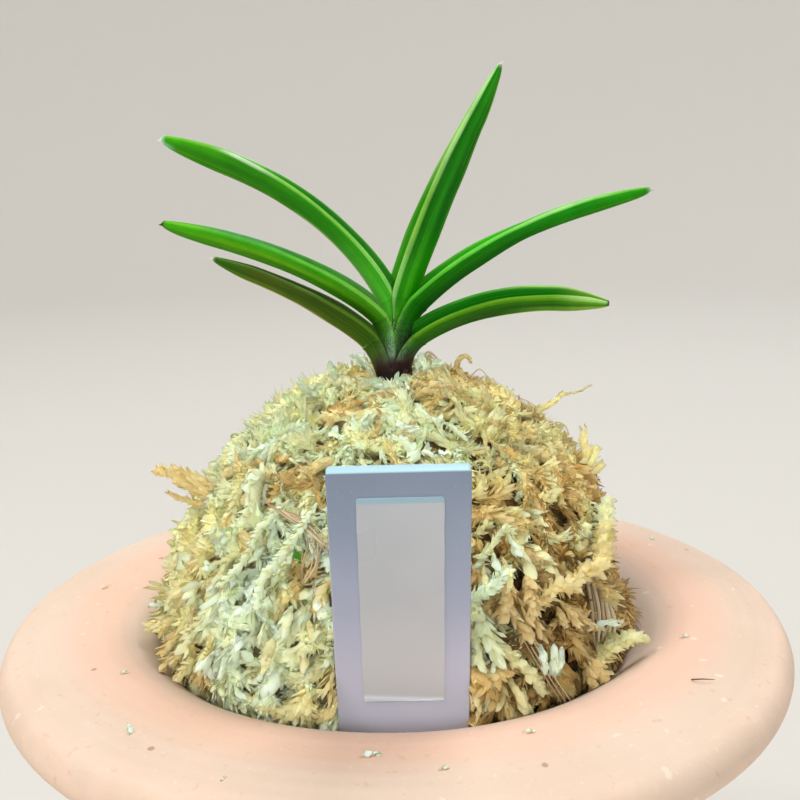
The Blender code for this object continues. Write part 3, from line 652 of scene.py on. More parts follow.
# Leaf bases: height of the foot, its half width, its reach to the front, how far round its edge ends (degrees), paint.
BASES = {
    "leaf_right_upper": (123.4, 1.20, 1.00, 100, dict(low=(74, 106, 64), mid=(92, 192, 28), edge=(120, 196, 76), band=.18, dots=1.0, line=0.0, drop=0.0)),
    "leaf_left_upper": (122.8, 1.35, 1.12, 92, dict(low=(92, 138, 70), mid=(70, 182, 34), edge=(116, 198, 76), band=.18, dots=0.35, line=0.35, drop=0.0)),
    "leaf_right_middle": (120.4, 1.85, 1.36, 112, dict(low=(50, 84, 38), mid=(40, 140, 8), edge=(90, 156, 60), band=.18, dots=1.0, line=0.0, drop=0.0)),
    "leaf_left_middle": (119.4, 2.08, 1.78, 96, dict(low=(84, 118, 74), mid=(60, 138, 16), edge=(132, 172, 136), band=.15, dots=0.75, line=0.8, drop=0.0)),
    "leaf_right_lower": (119.0, 2.26, 1.92, 100, dict(low=(60, 96, 52), mid=(34, 118, 8), edge=(118, 154, 118), band=.165, dots=0.8, line=0.3, drop=0.0004)),
    "leaf_left_lower": (118.6, 2.42, 2.03, 86, dict(low=(76, 108, 44), mid=(70, 124, 16), edge=(118, 150, 92), band=.17, dots=0.5, line=1.0, drop=0.0022)),
}
EDGES = {"leaf_left_upper": 0.28, "leaf_right_upper": 0.46}
STEM_X = 0.45


def roll_at(name, s):
    t = ROLLS[name]
    return float(np.interp(s, [k for k, _ in t], [a for _, a in t]))


def make_leaf(name, spec):
    n = 84
    ss = (np.linspace(0, 1, n) ** 0.96) * 0.988
    frames = leaf_frames(spec, ss, lambda s: roll_at(name, s))
    rng = np.random.default_rng(abs(int(spec["length"] * 100)))
    ph = rng.uniform(0, 6.28, 4)
    blade, us = [], None
    for s, (c, along, up, front) in zip(ss, frames):
        w = leaf_width(spec, s)
        full = float(np.interp(s, np.linspace(0, 1, len(spec["widths"])), spec["widths"]))
        c = c + up * min(0.5, (full - w) * 0.40) - up * 0.10 * max(0.0, s - 0.55) / 0.45
        thick = min(0.62, 0.30 * w)
        sec, us = section_ring(w, thick)
        wave = 0.05 * math.sin(9 * s + ph[0]) + 0.03 * math.sin(23 * s + ph[1])
        h = sec[:, 0] * (1 + 0.012 * math.sin(17 * s + ph[2]))
        b = sec[:, 1] * (1 + wave * 0.6)
        blade.append(c + h[:, None] * up + b[:, None] * front)
    # a short point closes the blade, high on its end where keel and edges meet
    end, = leaf_frames(spec, [1.0], lambda s: roll_at(name, s))
    last = blade[-1]
    mid = last.mean(0)
    tipc = end[0] + end[1] * 0.22 + end[2] * (0.10 * leaf_width(spec, 0.95))
    r2 = tipc + (last - mid) * 0.20 - end[1] * 0.26
    blade.append(mid + (r2.mean(0) - mid) * 0.45 + (last - mid) * 0.52)
    blade.append(r2)
    bv = JOINT + (1 - JOINT) * np.concatenate([ss * 0.985, [0.988, 0.994]])
    # the base: a half shell round the stem at its foot, drawn up into the blade's fold
    foot_z, half, reach, wrap, _ = BASES[name]
    side = 1.0 if spec["rise"][0] > 90 else -1.0
    c1, along1 = frames[0][0], frames[0][1]
    P1 = blade[0]
    w1 = leaf_width(spec, 0.0)
    sec, us = section_ring(w1, min(0.62, 0.30 * w1))
    t = (sec[:, 0] - sec[:, 0].min()) / np.ptp(sec[:, 0])          # 0 at the keel, 1 at the edge
    inner = ((us[:-1] > 0.25) & (us[:-1] < 0.75)).astype(float)
    ang = t * math.radians(wrap)
    rx, ry = half - 0.30 * inner, reach - 0.28 * inner
    sgn = np.sign(np.round(sec[:, 1], 5))
    P0 = np.stack([STEM_X - side * rx * np.cos(ang), -sgn * ry * np.sin(np.clip(ang, 0, math.pi)), np.full(len(t), foot_z)], 1)
    gap = np.linalg.norm(P1.mean(0) - P0.mean(0))
    T0, T1 = np.array((0, 0, 1.0)) * gap * 1.15, along1 * gap * 0.85
    rings, vs = [], []
    m = 26
    for i in range(m):
        q = i / m
        h00, h10, h01, h11 = 2 * q ** 3 - 3 * q * q + 1, q ** 3 - 2 * q * q + q, -2 * q ** 3 + 3 * q * q, q ** 3 - q * q
        rings.append(P0 * h00 + T0 * h10 + P1 * h01 + T1 * h11)
        vs.append(JOINT * q)
    # a fine step at the joint: the base ends just outside the blade
    for k, grow in ((m - 2, 1.02), (m - 1, 1.045)):
        mid = rings[k].mean(0)
        rings[k] = mid + (rings[k] - mid) * grow
    rings += blade
    if name in EDGES:           # the two youngest leaves lie edge to edge in the heart
        for k, r in enumerate(rings):
            over = (r[:, 0] - EDGES[name]) * side
            near = np.clip((131.6 - r[:, 2]) / 1.6, 0, 1) * (over > 0) * 0.9
            r = r.copy()
            r[:, 0] -= side * over * near
            rings[k] = r
    vs = np.concatenate([vs, bv])
    ob = loft(name + "_blade", rings, leaf_material(name, LEAF_PAINT[name], BASES[name][4]), us, vs, tip=tipc, foot=rings[0].mean(0))
    return done(ob, "leaf", name)


# ---------------------------------------------------------------- stem
def make_stem():
    rows = [(107, .9, .9, .9), (107.6, .9, 1.5, 1.4), (112, .85, 1.7, 1.6), (116, .7, 1.85, 1.75), (118.4, .5, 2.2, 1.8), (119.8, .5, 2.35, 1.8),
            (121.2, .5, 2.1, 1.55), (122.6, .55, 1.7, 1.2), (124.2, .8, 1.2, .8), (126.0, 1.1, .5, .3)]
    prof = spline(np.array(rows, float), 5)
    S = 40
    th = np.arange(S) / S * 2 * np.pi
    rings = []
    for z, cx, a, b in prof:
        rip = 1 + 0.045 * np.sin(9 * th + z * 0.5) + 0.03 * np.sin(17 * th - z * 1.3) + 0.02 * np.sin(z * 5.5)
        rings.append(np.stack([cx + a * rip * np.cos(th), b * rip * np.sin(th), np.full(S, z)], 1))
    ob = loft("stem_core", rings, stem_material(), np.linspace(0, 1, S + 1), np.linspace(0, 1, len(rings)),
              tip=(1.1, 0, 126.2), foot=(.9, 0, 106.9))
    done(ob, "stem", "stem")


# ---------------------------------------------------------------- moss
TAG_TOP, TAG_LEAN = np.array((0.57, -36.97, 117.4)), math.radians(12.8)
TAG_W, TAG_THICK, TAG_LEN, TAG_POINT = 15.05, 1.5, 62.0, 15.0
MOUND = [(0.0, 120.6), (4.5, 120.2), (9, 118.7), (14, 116.4), (18.5, 113.7), (22.6, 110.4), (25.6, 106.6), (28, 102.4), (30, 97.6),
         (31.6, 92.4), (32.2, 88.4), (31.9, 85.8), (30.9, 83.9), (29.6, 81.2), (29.1, 78)]
CORE = np.array((0.0, 0.0, 92.0))
_m = spline(MOUND, 8)
_m = np.vstack([_m, [(29.1, 74.0), (29.1, 70.0)]])
_beta = np.arctan2(_m[:, 0], _m[:, 1] - CORE[2])
_rad = np.hypot(_m[:, 0], _m[:, 1] - CORE[2])
_tan = unit(np.gradient(_m, axis=0))
_nr, _nz = -_tan[:, 1], _tan[:, 0]                     # outward normal in the (r, z) plane


def on_mound(q):
    """Point on the dome and the outward normal, for unit directions q from the dome's core."""
    beta = np.arccos(np.clip(q[..., 2], -1, 1))
    rad = np.interp(beta, _beta, _rad)
    nr, nz = np.interp(beta, _beta, _nr), np.interp(beta, _beta, _nz)
    h = np.hypot(q[..., 0], q[..., 1]) + 1e-9
    n = np.stack([q[..., 0] / h * nr, q[..., 1] / h * nr, nz], -1)
    return CORE + q * rad[..., None], unit(n)


def spines(rng, q0, down, length, K, offset, wander=0.5, pull=0.0, bow=0.4, flare=0.0, dip=0.6):
    """Strands that creep over the dome. q0 (N,3) start directions, down (N,) the heading's angle from straight down,
    offset (N,) height over the dome. Gives points, tangents and normals, each (N, K, 3)."""
    N = len(q0)
    q = unit(q0)
    zdown = np.array((0, 0, -1.0))
    e_s = zdown - q * (q @ zdown)[:, None]
    e_s = np.where(np.linalg.norm(e_s, axis=1, keepdims=True) < 0.02, np.array((1.0, 0, 0)), e_s)
    e_s = unit(e_s)
    e_t = np.cross(q, e_s)
    t = e_s * np.cos(down)[:, None] + e_t * np.sin(down)[:, None]
    curl = rng.normal(0, wander, N)
    P = np.zeros((N, K, 3))
    Nn = np.zeros((N, K, 3))
    step = length / (K - 1)
    bowv = bow * rng.uniform(0.2, 1.3, N)
    flv = flare * rng.uniform(0.0, 1.2, N) ** 2
    dpv = dip * rng.uniform(0.3, 1.4, N)
    for k in range(K):
        tau = k / (K - 1)
        p, n = on_mound(q)
        off = (offset + bowv * math.sin(math.pi * min(1.0, tau * 1.1)) - dpv * (1 - min(1.0, tau / 0.25)) ** 2 + flv * tau ** 3
               + smooth_noise(p, 31, 7.5) * 0.42)
        P[:, k] = p + n * off[:, None]
        Nn[:, k] = n
        a = (step / np.linalg.norm(p - CORE, axis=1))[:, None]
        q = unit(q + t * a)
        t = unit(t - q * np.sum(t * q, 1, keepdims=True))
        turn = (curl + rng.normal(0, wander * 0.8, N)) / (K - 1) * 2.0
        side = np.cross(q, t)
        t = unit(t * np.cos(turn)[:, None] + side * np.sin(turn)[:, None])
        if pull:
            ds = zdown - q * (q @ zdown)[:, None]
            t = unit(t + ds * pull)
    T = np.gradient(P, axis=1)
    T = unit(T)
    Nn = unit(Nn - T * np.sum(Nn * T, 2, keepdims=True))
    return P, T, Nn


class Heap:
    """Collects strands' points, faces and chart places, sorted into pieces."""

    def __init__(self):
        self.parts = {}
        self.laid = []

    def gaps(self, rng, count):
        """Directions of the barest places between the strands laid so far, the barest first."""
        pts = np.vstack(self.laid)
        v = pts - CORE
        d = np.linalg.norm(v, axis=1)
        pts = pts[d - np.interp(np.arccos(np.clip(v[:, 2] / d, -1, 1)), _beta, _rad) > -1.55]
        tree = kdtree.KDTree(len(pts))
        for k, p in enumerate(pts):
            tree.insert(p, k)
        tree.balance()
        q = scatter(rng, 6000, 1.86)
        p, n = on_mound(q)
        at = p - n * 1.1
        free = np.array([tree.find(v)[2] for v in at]) - 0.45 * (at[:, 1] > 4)
        picked = []
        for k in np.argsort(-free):
            if len(picked) == count:
                break
            if all(np.linalg.norm(at[k] - at[j]) > 1.5 for j in picked):
                picked.append(k)
        print("barest places, mm to the next strand:", [round(float(free[k]), 2) for k in picked[::27]])
        return q[picked]

    def add(self, key, co, polys, uv):
        """co (V,3), polys list of arrays, uv (V,2); key names the piece."""
        self.parts.setdefault(key, []).append((co, polys, uv))

    def tris(self, key):
        return sum(len(p) * (p.shape[1] - 2) for co, polys, uv in self.parts[key] for p in polys)

    def make(self, key, mat):
        cos, pol, uvs, at = [], {}, [], 0
        for co, polys, uv in self.parts[key]:
            cos.append(co)
            uvs.append(uv)
            for p in polys:
                pol.setdefault(p.shape[1], []).append(p + at)
            at += len(co)
        return build(key, np.vstack(cos), [np.vstack(v) for _, v in sorted(pol.items())], mat, uv=np.vstack(uvs))


def behind_tag(co):
    """Keeps points that would come through the tag just behind it."""
    z = co[..., 2]
    down = (TAG_TOP[2] - z) / math.cos(TAG_LEAN)
    face = TAG_TOP[1] + down * math.sin(TAG_LEAN)
    back = face + TAG_THICK / math.cos(TAG_LEAN) + 0.10
    half = TAG_W / 2 + 0.12
    dx = co[..., 0] - TAG_TOP[0]
    hit = (np.abs(dx) < half) & (co[..., 1] < back) & (z < TAG_TOP[2] + 0.8)
    fix = co.copy()
    fix[..., 1] = np.where(hit, back + 0.02 * np.abs(np.sin(dx * 9)), fix[..., 1])
    return fix


def in_the_pot(co):
    """Keeps points off the lip's inner face."""
    x, y, z = co[..., 0], co[..., 1], co[..., 2]
    r = np.hypot(x, y) + 1e-9
    dz = np.clip(z - 77.7, 0, 10.3)
    wall = np.where(z > 77.7, 39.8 - np.sqrt(np.maximum(0, 10.3 ** 2 - dz ** 2)), 29.5) - 0.15
    lim = np.where(z < 88.0, wall, 1e3)
    k = np.minimum(1.0, lim / r)
    out = co.copy()
    out[..., 0], out[..., 1] = x * k, y * k
    return out


def off_the_stem(co, near=2.3):
    """Keeps points out of the stem, and lets the moss fall off towards it."""
    x, y, z = co[..., 0] - 0.6, co[..., 1] * 1.15, co[..., 2]
    r = np.hypot(x, y) + 1e-9
    k = np.where((z > 112) & (r < near), near / r, 1.0)
    f = np.clip((3.7 - r) / 1.5, 0, 1)
    out = co.copy()
    out[..., 0], out[..., 1] = 0.6 + x * k, y * k / 1.15
    out[..., 2] = z - 1.5 * f * f * (3 - 2 * f) * np.clip((z - 115) / 2, 0, 1)
    return out


def bare_foot(co, deep=1.35):
    """Presses the moss down a little just in front of the stem, so that its dark foot shows."""
    x, y, z = co[..., 0] - 0.1, co[..., 1] + 3.6, co[..., 2]
    near = np.exp(-((x / 3.0) ** 2 + (y / 2.6) ** 2) ** 2)
    out = co.copy()
    out[..., 2] = z - deep * near * np.clip((z - 115) / 2, 0, 1)
    return out


def slim(co, tips=False):
    """Draws the dome's two flanks in a little; with tips, what stands well out of it stays where it is."""
    x, y, z = co[..., 0], co[..., 1], co[..., 2]
    az = np.clip((np.abs(np.arctan2(x, -y)) - 0.55) / 0.55, 0, 1)
    az = az * az * (3 - 2 * az)
    left = np.interp(z, [83, 86, 90, 96, 106, 112, 116, 118.5], [0, 0.4, 0.9, 1.3, 1.3, 1.2, 0.6, 0.0])
    right = np.interp(z, [83, 86, 89, 91, 93, 97, 102, 108, 113], [0, 0.3, 1.5, 2.4, 2.8, 2.4, 0.9, 0.3, 0.0])
    f = np.clip(x / 6 + 0.5, 0, 1)
    k = az * (left * (1 - f) + right * f) * np.clip((np.hypot(x, y) - 5) / 6, 0, 1)
    v = co - CORE
    d = np.linalg.norm(v, axis=-1) + 1e-9
    q = v / d[..., None]
    if tips:
        high = d - np.interp(np.arccos(np.clip(q[..., 2], -1, 1)), _beta, _rad)
        k = k * np.clip(1 - (high - 0.6) / 2.5, 0, 1)
    return co - q * k[..., None]


def bare_tip(co):
    """Presses the strands down over the green root tip, so that it shows."""
    d = np.linalg.norm((co - np.array((-11.4, -25.6, 101.8))) / np.array((1.2, 2.6, 1.4)), axis=-1)
    return co - unit(co - CORE) * (1.8 * np.exp(-d ** 4))[..., None]


def keep_clear(co, tips=False):
    return in_the_pot(behind_tag(off_the_stem(bare_foot(bare_tip(slim(co, tips))))))


def girth(tau):
    """A strand's thickness along it: full soon after its foot, drawn to a point."""
    return np.minimum(1.0, 0.45 + tau * 3.0) * np.sqrt(np.clip(1 - (tau * 0.97) ** 2.6, 0, 1)) * 0.85 + 0.10


def cores(rng, P, T, Nn, radius, tone, light, sides=7, lump=0.14):
    """The soft body under a strand's leaves."""
    N, K, _ = P.shape
    B = np.cross(T, Nn)
    ang = np.arange(sides) / sides * 2 * np.pi
    tau = np.linspace(0, 1, K)
    r = radius[:, None, None] * girth(tau)[None, :, None] * (1 + rng.normal(0, lump, (N, K, sides)))
    co = (P[:, :, None, :] + (np.cos(ang)[None, None, :, None] * Nn[:, :, None, :]
          + np.sin(ang)[None, None, :, None] * B[:, :, None, :]) * r[..., None])
    co = co.reshape(N, K * sides, 3)
    ends = np.stack([P[:, 0] - T[:, 0] * 0.2, P[:, -1] + T[:, -1] * 0.25], 1)
    co = np.concatenate([co, ends], 1)
    i, j = np.meshgrid(np.arange(K - 1), np.arange(sides), indexing="ij")
    i, j = i.ravel(), j.ravel()
    k = (j + 1) % sides
    quads = np.stack([i * sides + k, i * sides + j, (i + 1) * sides + j, (i + 1) * sides + k], 1)
    jj = np.arange(sides)
    kk = (jj + 1) % sides
    b = (K - 1) * sides
    tris = np.concatenate([np.stack([jj, kk, np.full(sides, K * sides)], 1),
                           np.stack([b + kk, b + jj, np.full(sides, K * sides + 1)], 1)])
    V = co.shape[1]
    uu = np.repeat(tone[:, None], V, 1) + rng.normal(0, 0.015, (N, V))
    vv = np.repeat(light[:, None] * 0.30, V, 1) + rng.normal(0, 0.05, (N, V))
    return co, [quads, tris], np.clip(np.stack([uu, vv], -1), 0.005, 0.995)


def leaflets(rng, P, T, Nn, M, ell, wid, alpha, recurve, cup, r0, tone, light, full=True, fan=115.0, t0=0.03, t1=1.0,
             taper=0.5, jit=0.16, whole=False, wild=1.0):
    """Small leaves along strands, overlapping towards the tip. ell, wid, alpha, tone, light have one value a strand.
    Returns points (N, M*V, 3), faces of one strand and chart places (N, M*V, 2)."""
    N, K, _ = P.shape
    tau = np.linspace(t0, t1, M)[None, :] + rng.uniform(-0.4, 0.4, (N, M)) / M
    tau = np.clip(tau, 0, 1)
    f = tau * (K - 1)
    i0 = np.clip(f.astype(int), 0, K - 2)
    fr = (f - i0)[..., None]
    row = np.arange(N)[:, None]
    lerp = lambda A: A[row, i0] * (1 - fr) + A[row, i0 + 1] * fr
    pos, tt, nn = lerp(P), unit(lerp(T)), unit(lerp(Nn))
    nn = unit(nn - tt * np.sum(nn * tt, 2, keepdims=True))
    bb = np.cross(tt, nn)
    j = np.arange(M)[None, :]
    if whole:
        psi = j * GOLDEN + rng.uniform(0, 6.28, (N, 1)) + rng.normal(0, 0.2, (N, M))
    else:
        psi = (np.mod(j * 0.6180339 + rng.uniform(0, 1, (N, 1)), 1.0) - 0.5) * 2 * math.radians(fan) + rng.normal(0, 0.12, (N, M))
    R = np.cos(psi)[..., None] * nn + np.sin(psi)[..., None] * bb
    al = alpha[:, None] * (1 + rng.normal(0, 0.18 * wild, (N, M)))
    ca, sa = np.cos(al)[..., None], np.sin(al)[..., None]
    a = ca * tt + sa * R
    o = -sa * tt + ca * R
    yaw = rng.normal(0, 0.16 * wild, (N, M))[..., None]
    s = np.cross(a, o)
    a, s = a * np.cos(yaw) + s * np.sin(yaw), s * np.cos(yaw) - a * np.sin(yaw)
    sc = (1 - taper * tau ** 2.5) * (0.62 + 0.38 * np.minimum(1, tau / 0.14)) * np.clip(1 + rng.normal(0, jit, (N, M)), 0.5, 1.6)
    L = ell[:, None] * sc
    W = wid[:, None] * sc * np.clip(1 + rng.normal(0, 0.1, (N, M)), 0.6, 1.5)
    base = pos + R * (r0[:, None] * girth(tau))[..., None]
    if full:
        rows = [(0.0, 0.50), (0.40, 1.0), (0.78, 0.62)]
    else:
        rows = [(0.34, 1.0)]
    verts, chart = [], []
    if not full:
        verts.append(base)
        chart.append(0.10)
    rc = recurve[:, None] if isinstance(recurve, np.ndarray) else np.full((N, 1), recurve)
    cp = cup[:, None] if isinstance(cup, np.ndarray) else np.full((N, 1), cup)
    for t, wf in rows:
        for c in (-1.0, 0.0, 1.0):
            verts.append(base + a * (L * t)[..., None] + s * (c * W * wf)[..., None]
                         + o * (rc * L * t * t - cp * W * wf * c * c)[..., None])
            chart.append(0.16 + 0.74 * t + (0.04 if c == 0 else 0.0))
    verts.append(base + a * L[..., None] + o * (rc * L)[..., None] + s * (rng.normal(0, 0.12, (N, M)) * W)[..., None])
    chart.append(0.96)
    V = len(verts)
    co = np.stack(verts, 2)                                   # N, M, V, 3
    co = co + rng.normal(0, 1, co.shape) * (W * 0.09)[:, :, None, None]
    tone_l = np.clip(tone[:, None] + rng.normal(0, 0.030, (N, M)), 0.01, 0.995)
    # a strand's light value moves its leaves up or down the chart's foot-to-tip brightness: painted light and painted
    # shade
    dim = np.clip(light[:, None] + rng.normal(0, 0.10, (N, M)), 0.1, 1.35)
    uu = np.repeat(tone_l[..., None], V, 2)
    vv = np.clip(np.array(chart)[None, None, :] * dim[..., None], 0.0, 0.995)
    if full:
        quads = np.array([(0, 1, 4, 3), (1, 2, 5, 4), (3, 4, 7, 6), (4, 5, 8, 7)])
        tris = np.array([(6, 7, 9), (7, 8, 9)])
    else:
        quads = np.zeros((0, 4), int)
        tris = np.array([(0, 2, 1), (0, 3, 2), (1, 2, 4), (2, 3, 4)])
    off = (np.arange(M) * V)[:, None, None]
    polys = [(p[None] + off).reshape(-1, p.shape[1]) for p in (quads, tris) if len(p)]
    return co.reshape(N, M * V, 3), polys, np.stack([uu, vv], -1).reshape(N, M * V, 2)


def threads(P, T, Nn, radius, tone, light, sides=5, taper=0.6):
    """Thin round stems along strands."""
    N, K, _ = P.shape
    B = np.cross(T, Nn)
    ang = np.arange(sides) / sides * 2 * np.pi
    tau = np.linspace(0, 1, K)
    r = radius[:, None] * (1 - taper * tau[None, :] ** 2)
    co = (P[:, :, None, :] + (np.cos(ang)[None, None, :, None] * Nn[:, :, None, :]
          + np.sin(ang)[None, None, :, None] * B[:, :, None, :]) * r[:, :, None, None])
    co = co.reshape(N, K * sides, 3)
    ends = np.stack([P[:, 0], P[:, -1] + T[:, -1] * 0.2], 1)
    co = np.concatenate([co, ends], 1)
    i, j = np.meshgrid(np.arange(K - 1), np.arange(sides), indexing="ij")
    i, j = i.ravel(), j.ravel()
    k = (j + 1) % sides
    quads = np.stack([i * sides + k, i * sides + j, (i + 1) * sides + j, (i + 1) * sides + k], 1)
    jj = np.arange(sides)
    kk = (jj + 1) % sides
    b = (K - 1) * sides
    tris = np.concatenate([np.stack([jj, kk, np.full(sides, K * sides)], 1),
                           np.stack([b + kk, b + jj, np.full(sides, K * sides + 1)], 1)])
    V = co.shape[1]
    uv = np.stack([np.repeat(tone[:, None], V, 1), np.repeat(light[:, None] * 0.55, V, 1)], -1)
    return co, [quads, tris], np.clip(uv, 0.005, 0.995)


# Where the dome is darker or warmer than its surroundings: place, reach in mm, tone, share of strands that take it.
TUFTS = [
    ((-8.0, -9.2, 117.6), 3.2, 0.36, 0.85), ((-3.0, -12.1, 117.2), 2.2, 0.48, 0.70), ((4.7, -5.6, 119.6), 2.4, 0.52, 0.80),
    ((-20.2, -11.1, 110.6), 2.6, 0.52, 0.70), ((16.6, -9.4, 114.6), 3.8, 0.58, 0.85), ((18.6, -10.6, 112.0), 2.4, 0.40, 0.80), ((-10.9, -19.0, 111.4), 3.6, 0.40, 0.90), ((-19.8, -12.0, 110.8), 2.6, 0.48, 0.80), ((-17.5, -14.5, 110.8), 2.6, 0.60, 0.60),
    ((-8.9, -27.0, 101.6), 3.2, 0.48, 0.75), ((-26.8, -18.3, 90.2), 4.2, 0.60, 0.60), ((-23.8, -17.0, 94.5), 2.4, 0.38, 0.60),
    ((20.6, -23.4, 95.3), 4.0, 0.32, 0.70), ((15.2, -25.8, 99.4), 4.2, 0.36, 0.80), ((19.2, -24.2, 95.2), 2.6, 0.18, 0.80), ((25.8, -17.4, 95.0), 4.0, 0.34, 0.75), ((23.8, -21.8, 88.0), 3.6, 0.44, 0.85),
    ((22.0, -16.4, 104.4), 4.2, 0.52, 0.55), ((11.8, -20.0, 109.4), 4.4, 0.76, 0.60), ((18.4, -17.2, 108.8), 4.0, 0.54, 0.60),
    ((16.3, -28.1, 87.5), 4.5, 0.56, 0.60), ((25.5, -20.5, 88.0), 4.0, 0.38, 0.70), ((-9.3, -30.3, 87.0), 4.0, 0.60, 0.55),
    ((-30.0, -8.0, 101.0), 4.0, 0.62, 0.50), ((9.4, -9.5, 117.8), 3.4, 0.70, 0.55), ((14.5, -9.0, 115.6), 3.4, 0.62, 0.55),
]
PALE = [((-10.5, -25.0, 106.4), 4.5), ((0.4, -6.0, 119.6), 2.6), ((-0.4, -16.7, 115.1), 7.0), ((-20.0, -22.0, 98.0), 7.0), ((-16.5, -8.0, 115.0), 6.5), ((-14.0, -27.5, 92.0), 6.0),
        ((9.4, -28.3, 99.0), 3.2), ((0.0, -4.0, 120.4), 4.0), ((3.6, -10.6, 118.4), 5.0), ((-20.5, -25.0, 88.5), 5.0), ((10.8, -29.2, 94.8), 4.0), ((6.5, -16.0, 114.8), 3.5)]


def smooth_noise(p, seed, scale):
    """A cheap smooth field between about -1 and 1."""
    rng = np.random.default_rng(seed)
    out = np.zeros(p.shape[:-1])
    for k in range(7):
        d = unit(rng.normal(size=3)) * rng.uniform(0.6, 1.5) / scale * 2 * math.pi
        out += np.sin(p @ d + rng.uniform(0, 6.28))
    return out / 3.2


def tone_at(rng, p):
    """Tone of strands whose middles are at p (N,3)."""
    N = len(p)
    right = np.clip((p[:, 0] + 2) / 14, 0, 1)
    low = np.clip((113 - p[:, 2]) / 9, 0, 1)
    by_tag = np.exp(-((p[:, 0] + 9) / 5.0) ** 2) * np.clip((-p[:, 1] - 14) / 8, 0, 1)
    f = smooth_noise(p, 5, 12.0) * 0.055 + smooth_noise(p, 9, 5.5) * 0.055
    beside = np.exp(-(((p[:, 0] - 11.5) / 4.5) ** 2 + ((p[:, 2] - 109.5) / 5.0) ** 2)) * (p[:, 1] < 0)
    crown = np.clip((p[:, 2] - 110) / 5, 0, 1)
    edge = np.clip((-p[:, 0] - 20) / 6, 0, 1) * np.clip((109 - p[:, 2]) / 4, 0, 1)
    # right and low lower the tone: the right wall, most of all low down, is partly browner of itself and partly painted
    # shade, as it faces away from the light
    t = 0.858 - 0.05 * crown - 0.15 * edge - 0.18 * right - 0.38 * right * low - 0.02 * by_tag + 0.13 * beside + f + rng.normal(0, 0.035, N)
    warm = smooth_noise(p, 41, 6.0) + rng.normal(0, 0.10, N)
    t = np.where(warm > 0.92 - 0.10 * right + 0.5 * beside, rng.uniform(0.50, 0.64, N), t)
    t = np.where(warm < -1.08 + 0.16 * right, rng.uniform(0.34, 0.46, N), t)
    t = np.where(rng.uniform(0, 1, N) < (0.05 + 0.08 * np.clip((p[:, 2] - 95) / 6, 0, 1)) * right * low, rng.uniform(0.72, 0.90, N), t)
    for c, rad in PALE:
        d = np.linalg.norm(p - np.array(c), axis=1)
        take = rng.uniform(0, 1, N) < 0.7 * np.exp(-(d / rad) ** 2)
        t = np.where(take, rng.uniform(0.84, 0.98, N), t)
    for c, rad, tone, share in TUFTS:
        d = np.linalg.norm(p - np.array(c), axis=1)
        take = rng.uniform(0, 1, N) < share * np.exp(-(d / rad) ** 2 * 0.9)
        t = np.where(take, tone + rng.normal(0, 0.05, N), t)
    return np.clip(t, 0.05, 0.99)


def size_at(p):
    """Leaves are small and downy on the crown and the left, larger low beside the tag."""
    d = np.linalg.norm(p - np.array((13.0, -28.0, 91.0)), axis=1)
    wall = np.clip((109 - p[:, 2]) / 9, 0, 1)
    return 1.0 + 0.22 * np.exp(-(d / 8.0) ** 2) + 0.34 * wall


def region(p):
    """Which piece of the moss a strand belongs to."""
    az = np.degrees(np.arctan2(p[:, 0], -p[:, 1]))       # 0 at the front, 90 at +X
    r = np.hypot(p[:, 0], p[:, 1])
    out = np.where(r < 19.0, 0, 1 + (np.floor((az + 36 + 360) / 72).astype(int) % 5))
    return out


REGIONS = ["moss_crown", "moss_front", "moss_right", "moss_back_right", "moss_back_left", "moss_left"]


def scatter(rng, n, beta_max=1.93, front_bias=0.0):
    """n directions spread evenly over the dome, jittered."""
    i = np.arange(n) + 0.5
    cb = 1 - i / n * (1 - math.cos(beta_max))
    th = i * GOLDEN + rng.uniform(0, 6.28)
    b = np.arccos(cb) + rng.normal(0, 0.03, n)
    b = np.clip(b, 0.02, beta_max)
    return np.stack([np.sin(b) * np.cos(th), np.sin(b) * np.sin(th), np.cos(b)], 1)


def heading(rng, q, spread):
    """Angle from straight down: any way on the crown, mostly downwards on the walls, leaning with the place."""
    beta = np.arccos(np.clip(q[:, 2], -1, 1))
    p = CORE + q * 30
    lean = smooth_noise(p, 21, 16.0) * 0.55 + 0.25 * np.sin(np.arctan2(q[:, 0], -q[:, 1]) * 1.0)
    free = np.clip((1.15 - beta) / 0.7, 0, 1)
    return lean + rng.normal(0, spread, len(q)) * (1 - free) + rng.uniform(-math.pi, math.pi, len(q)) * free


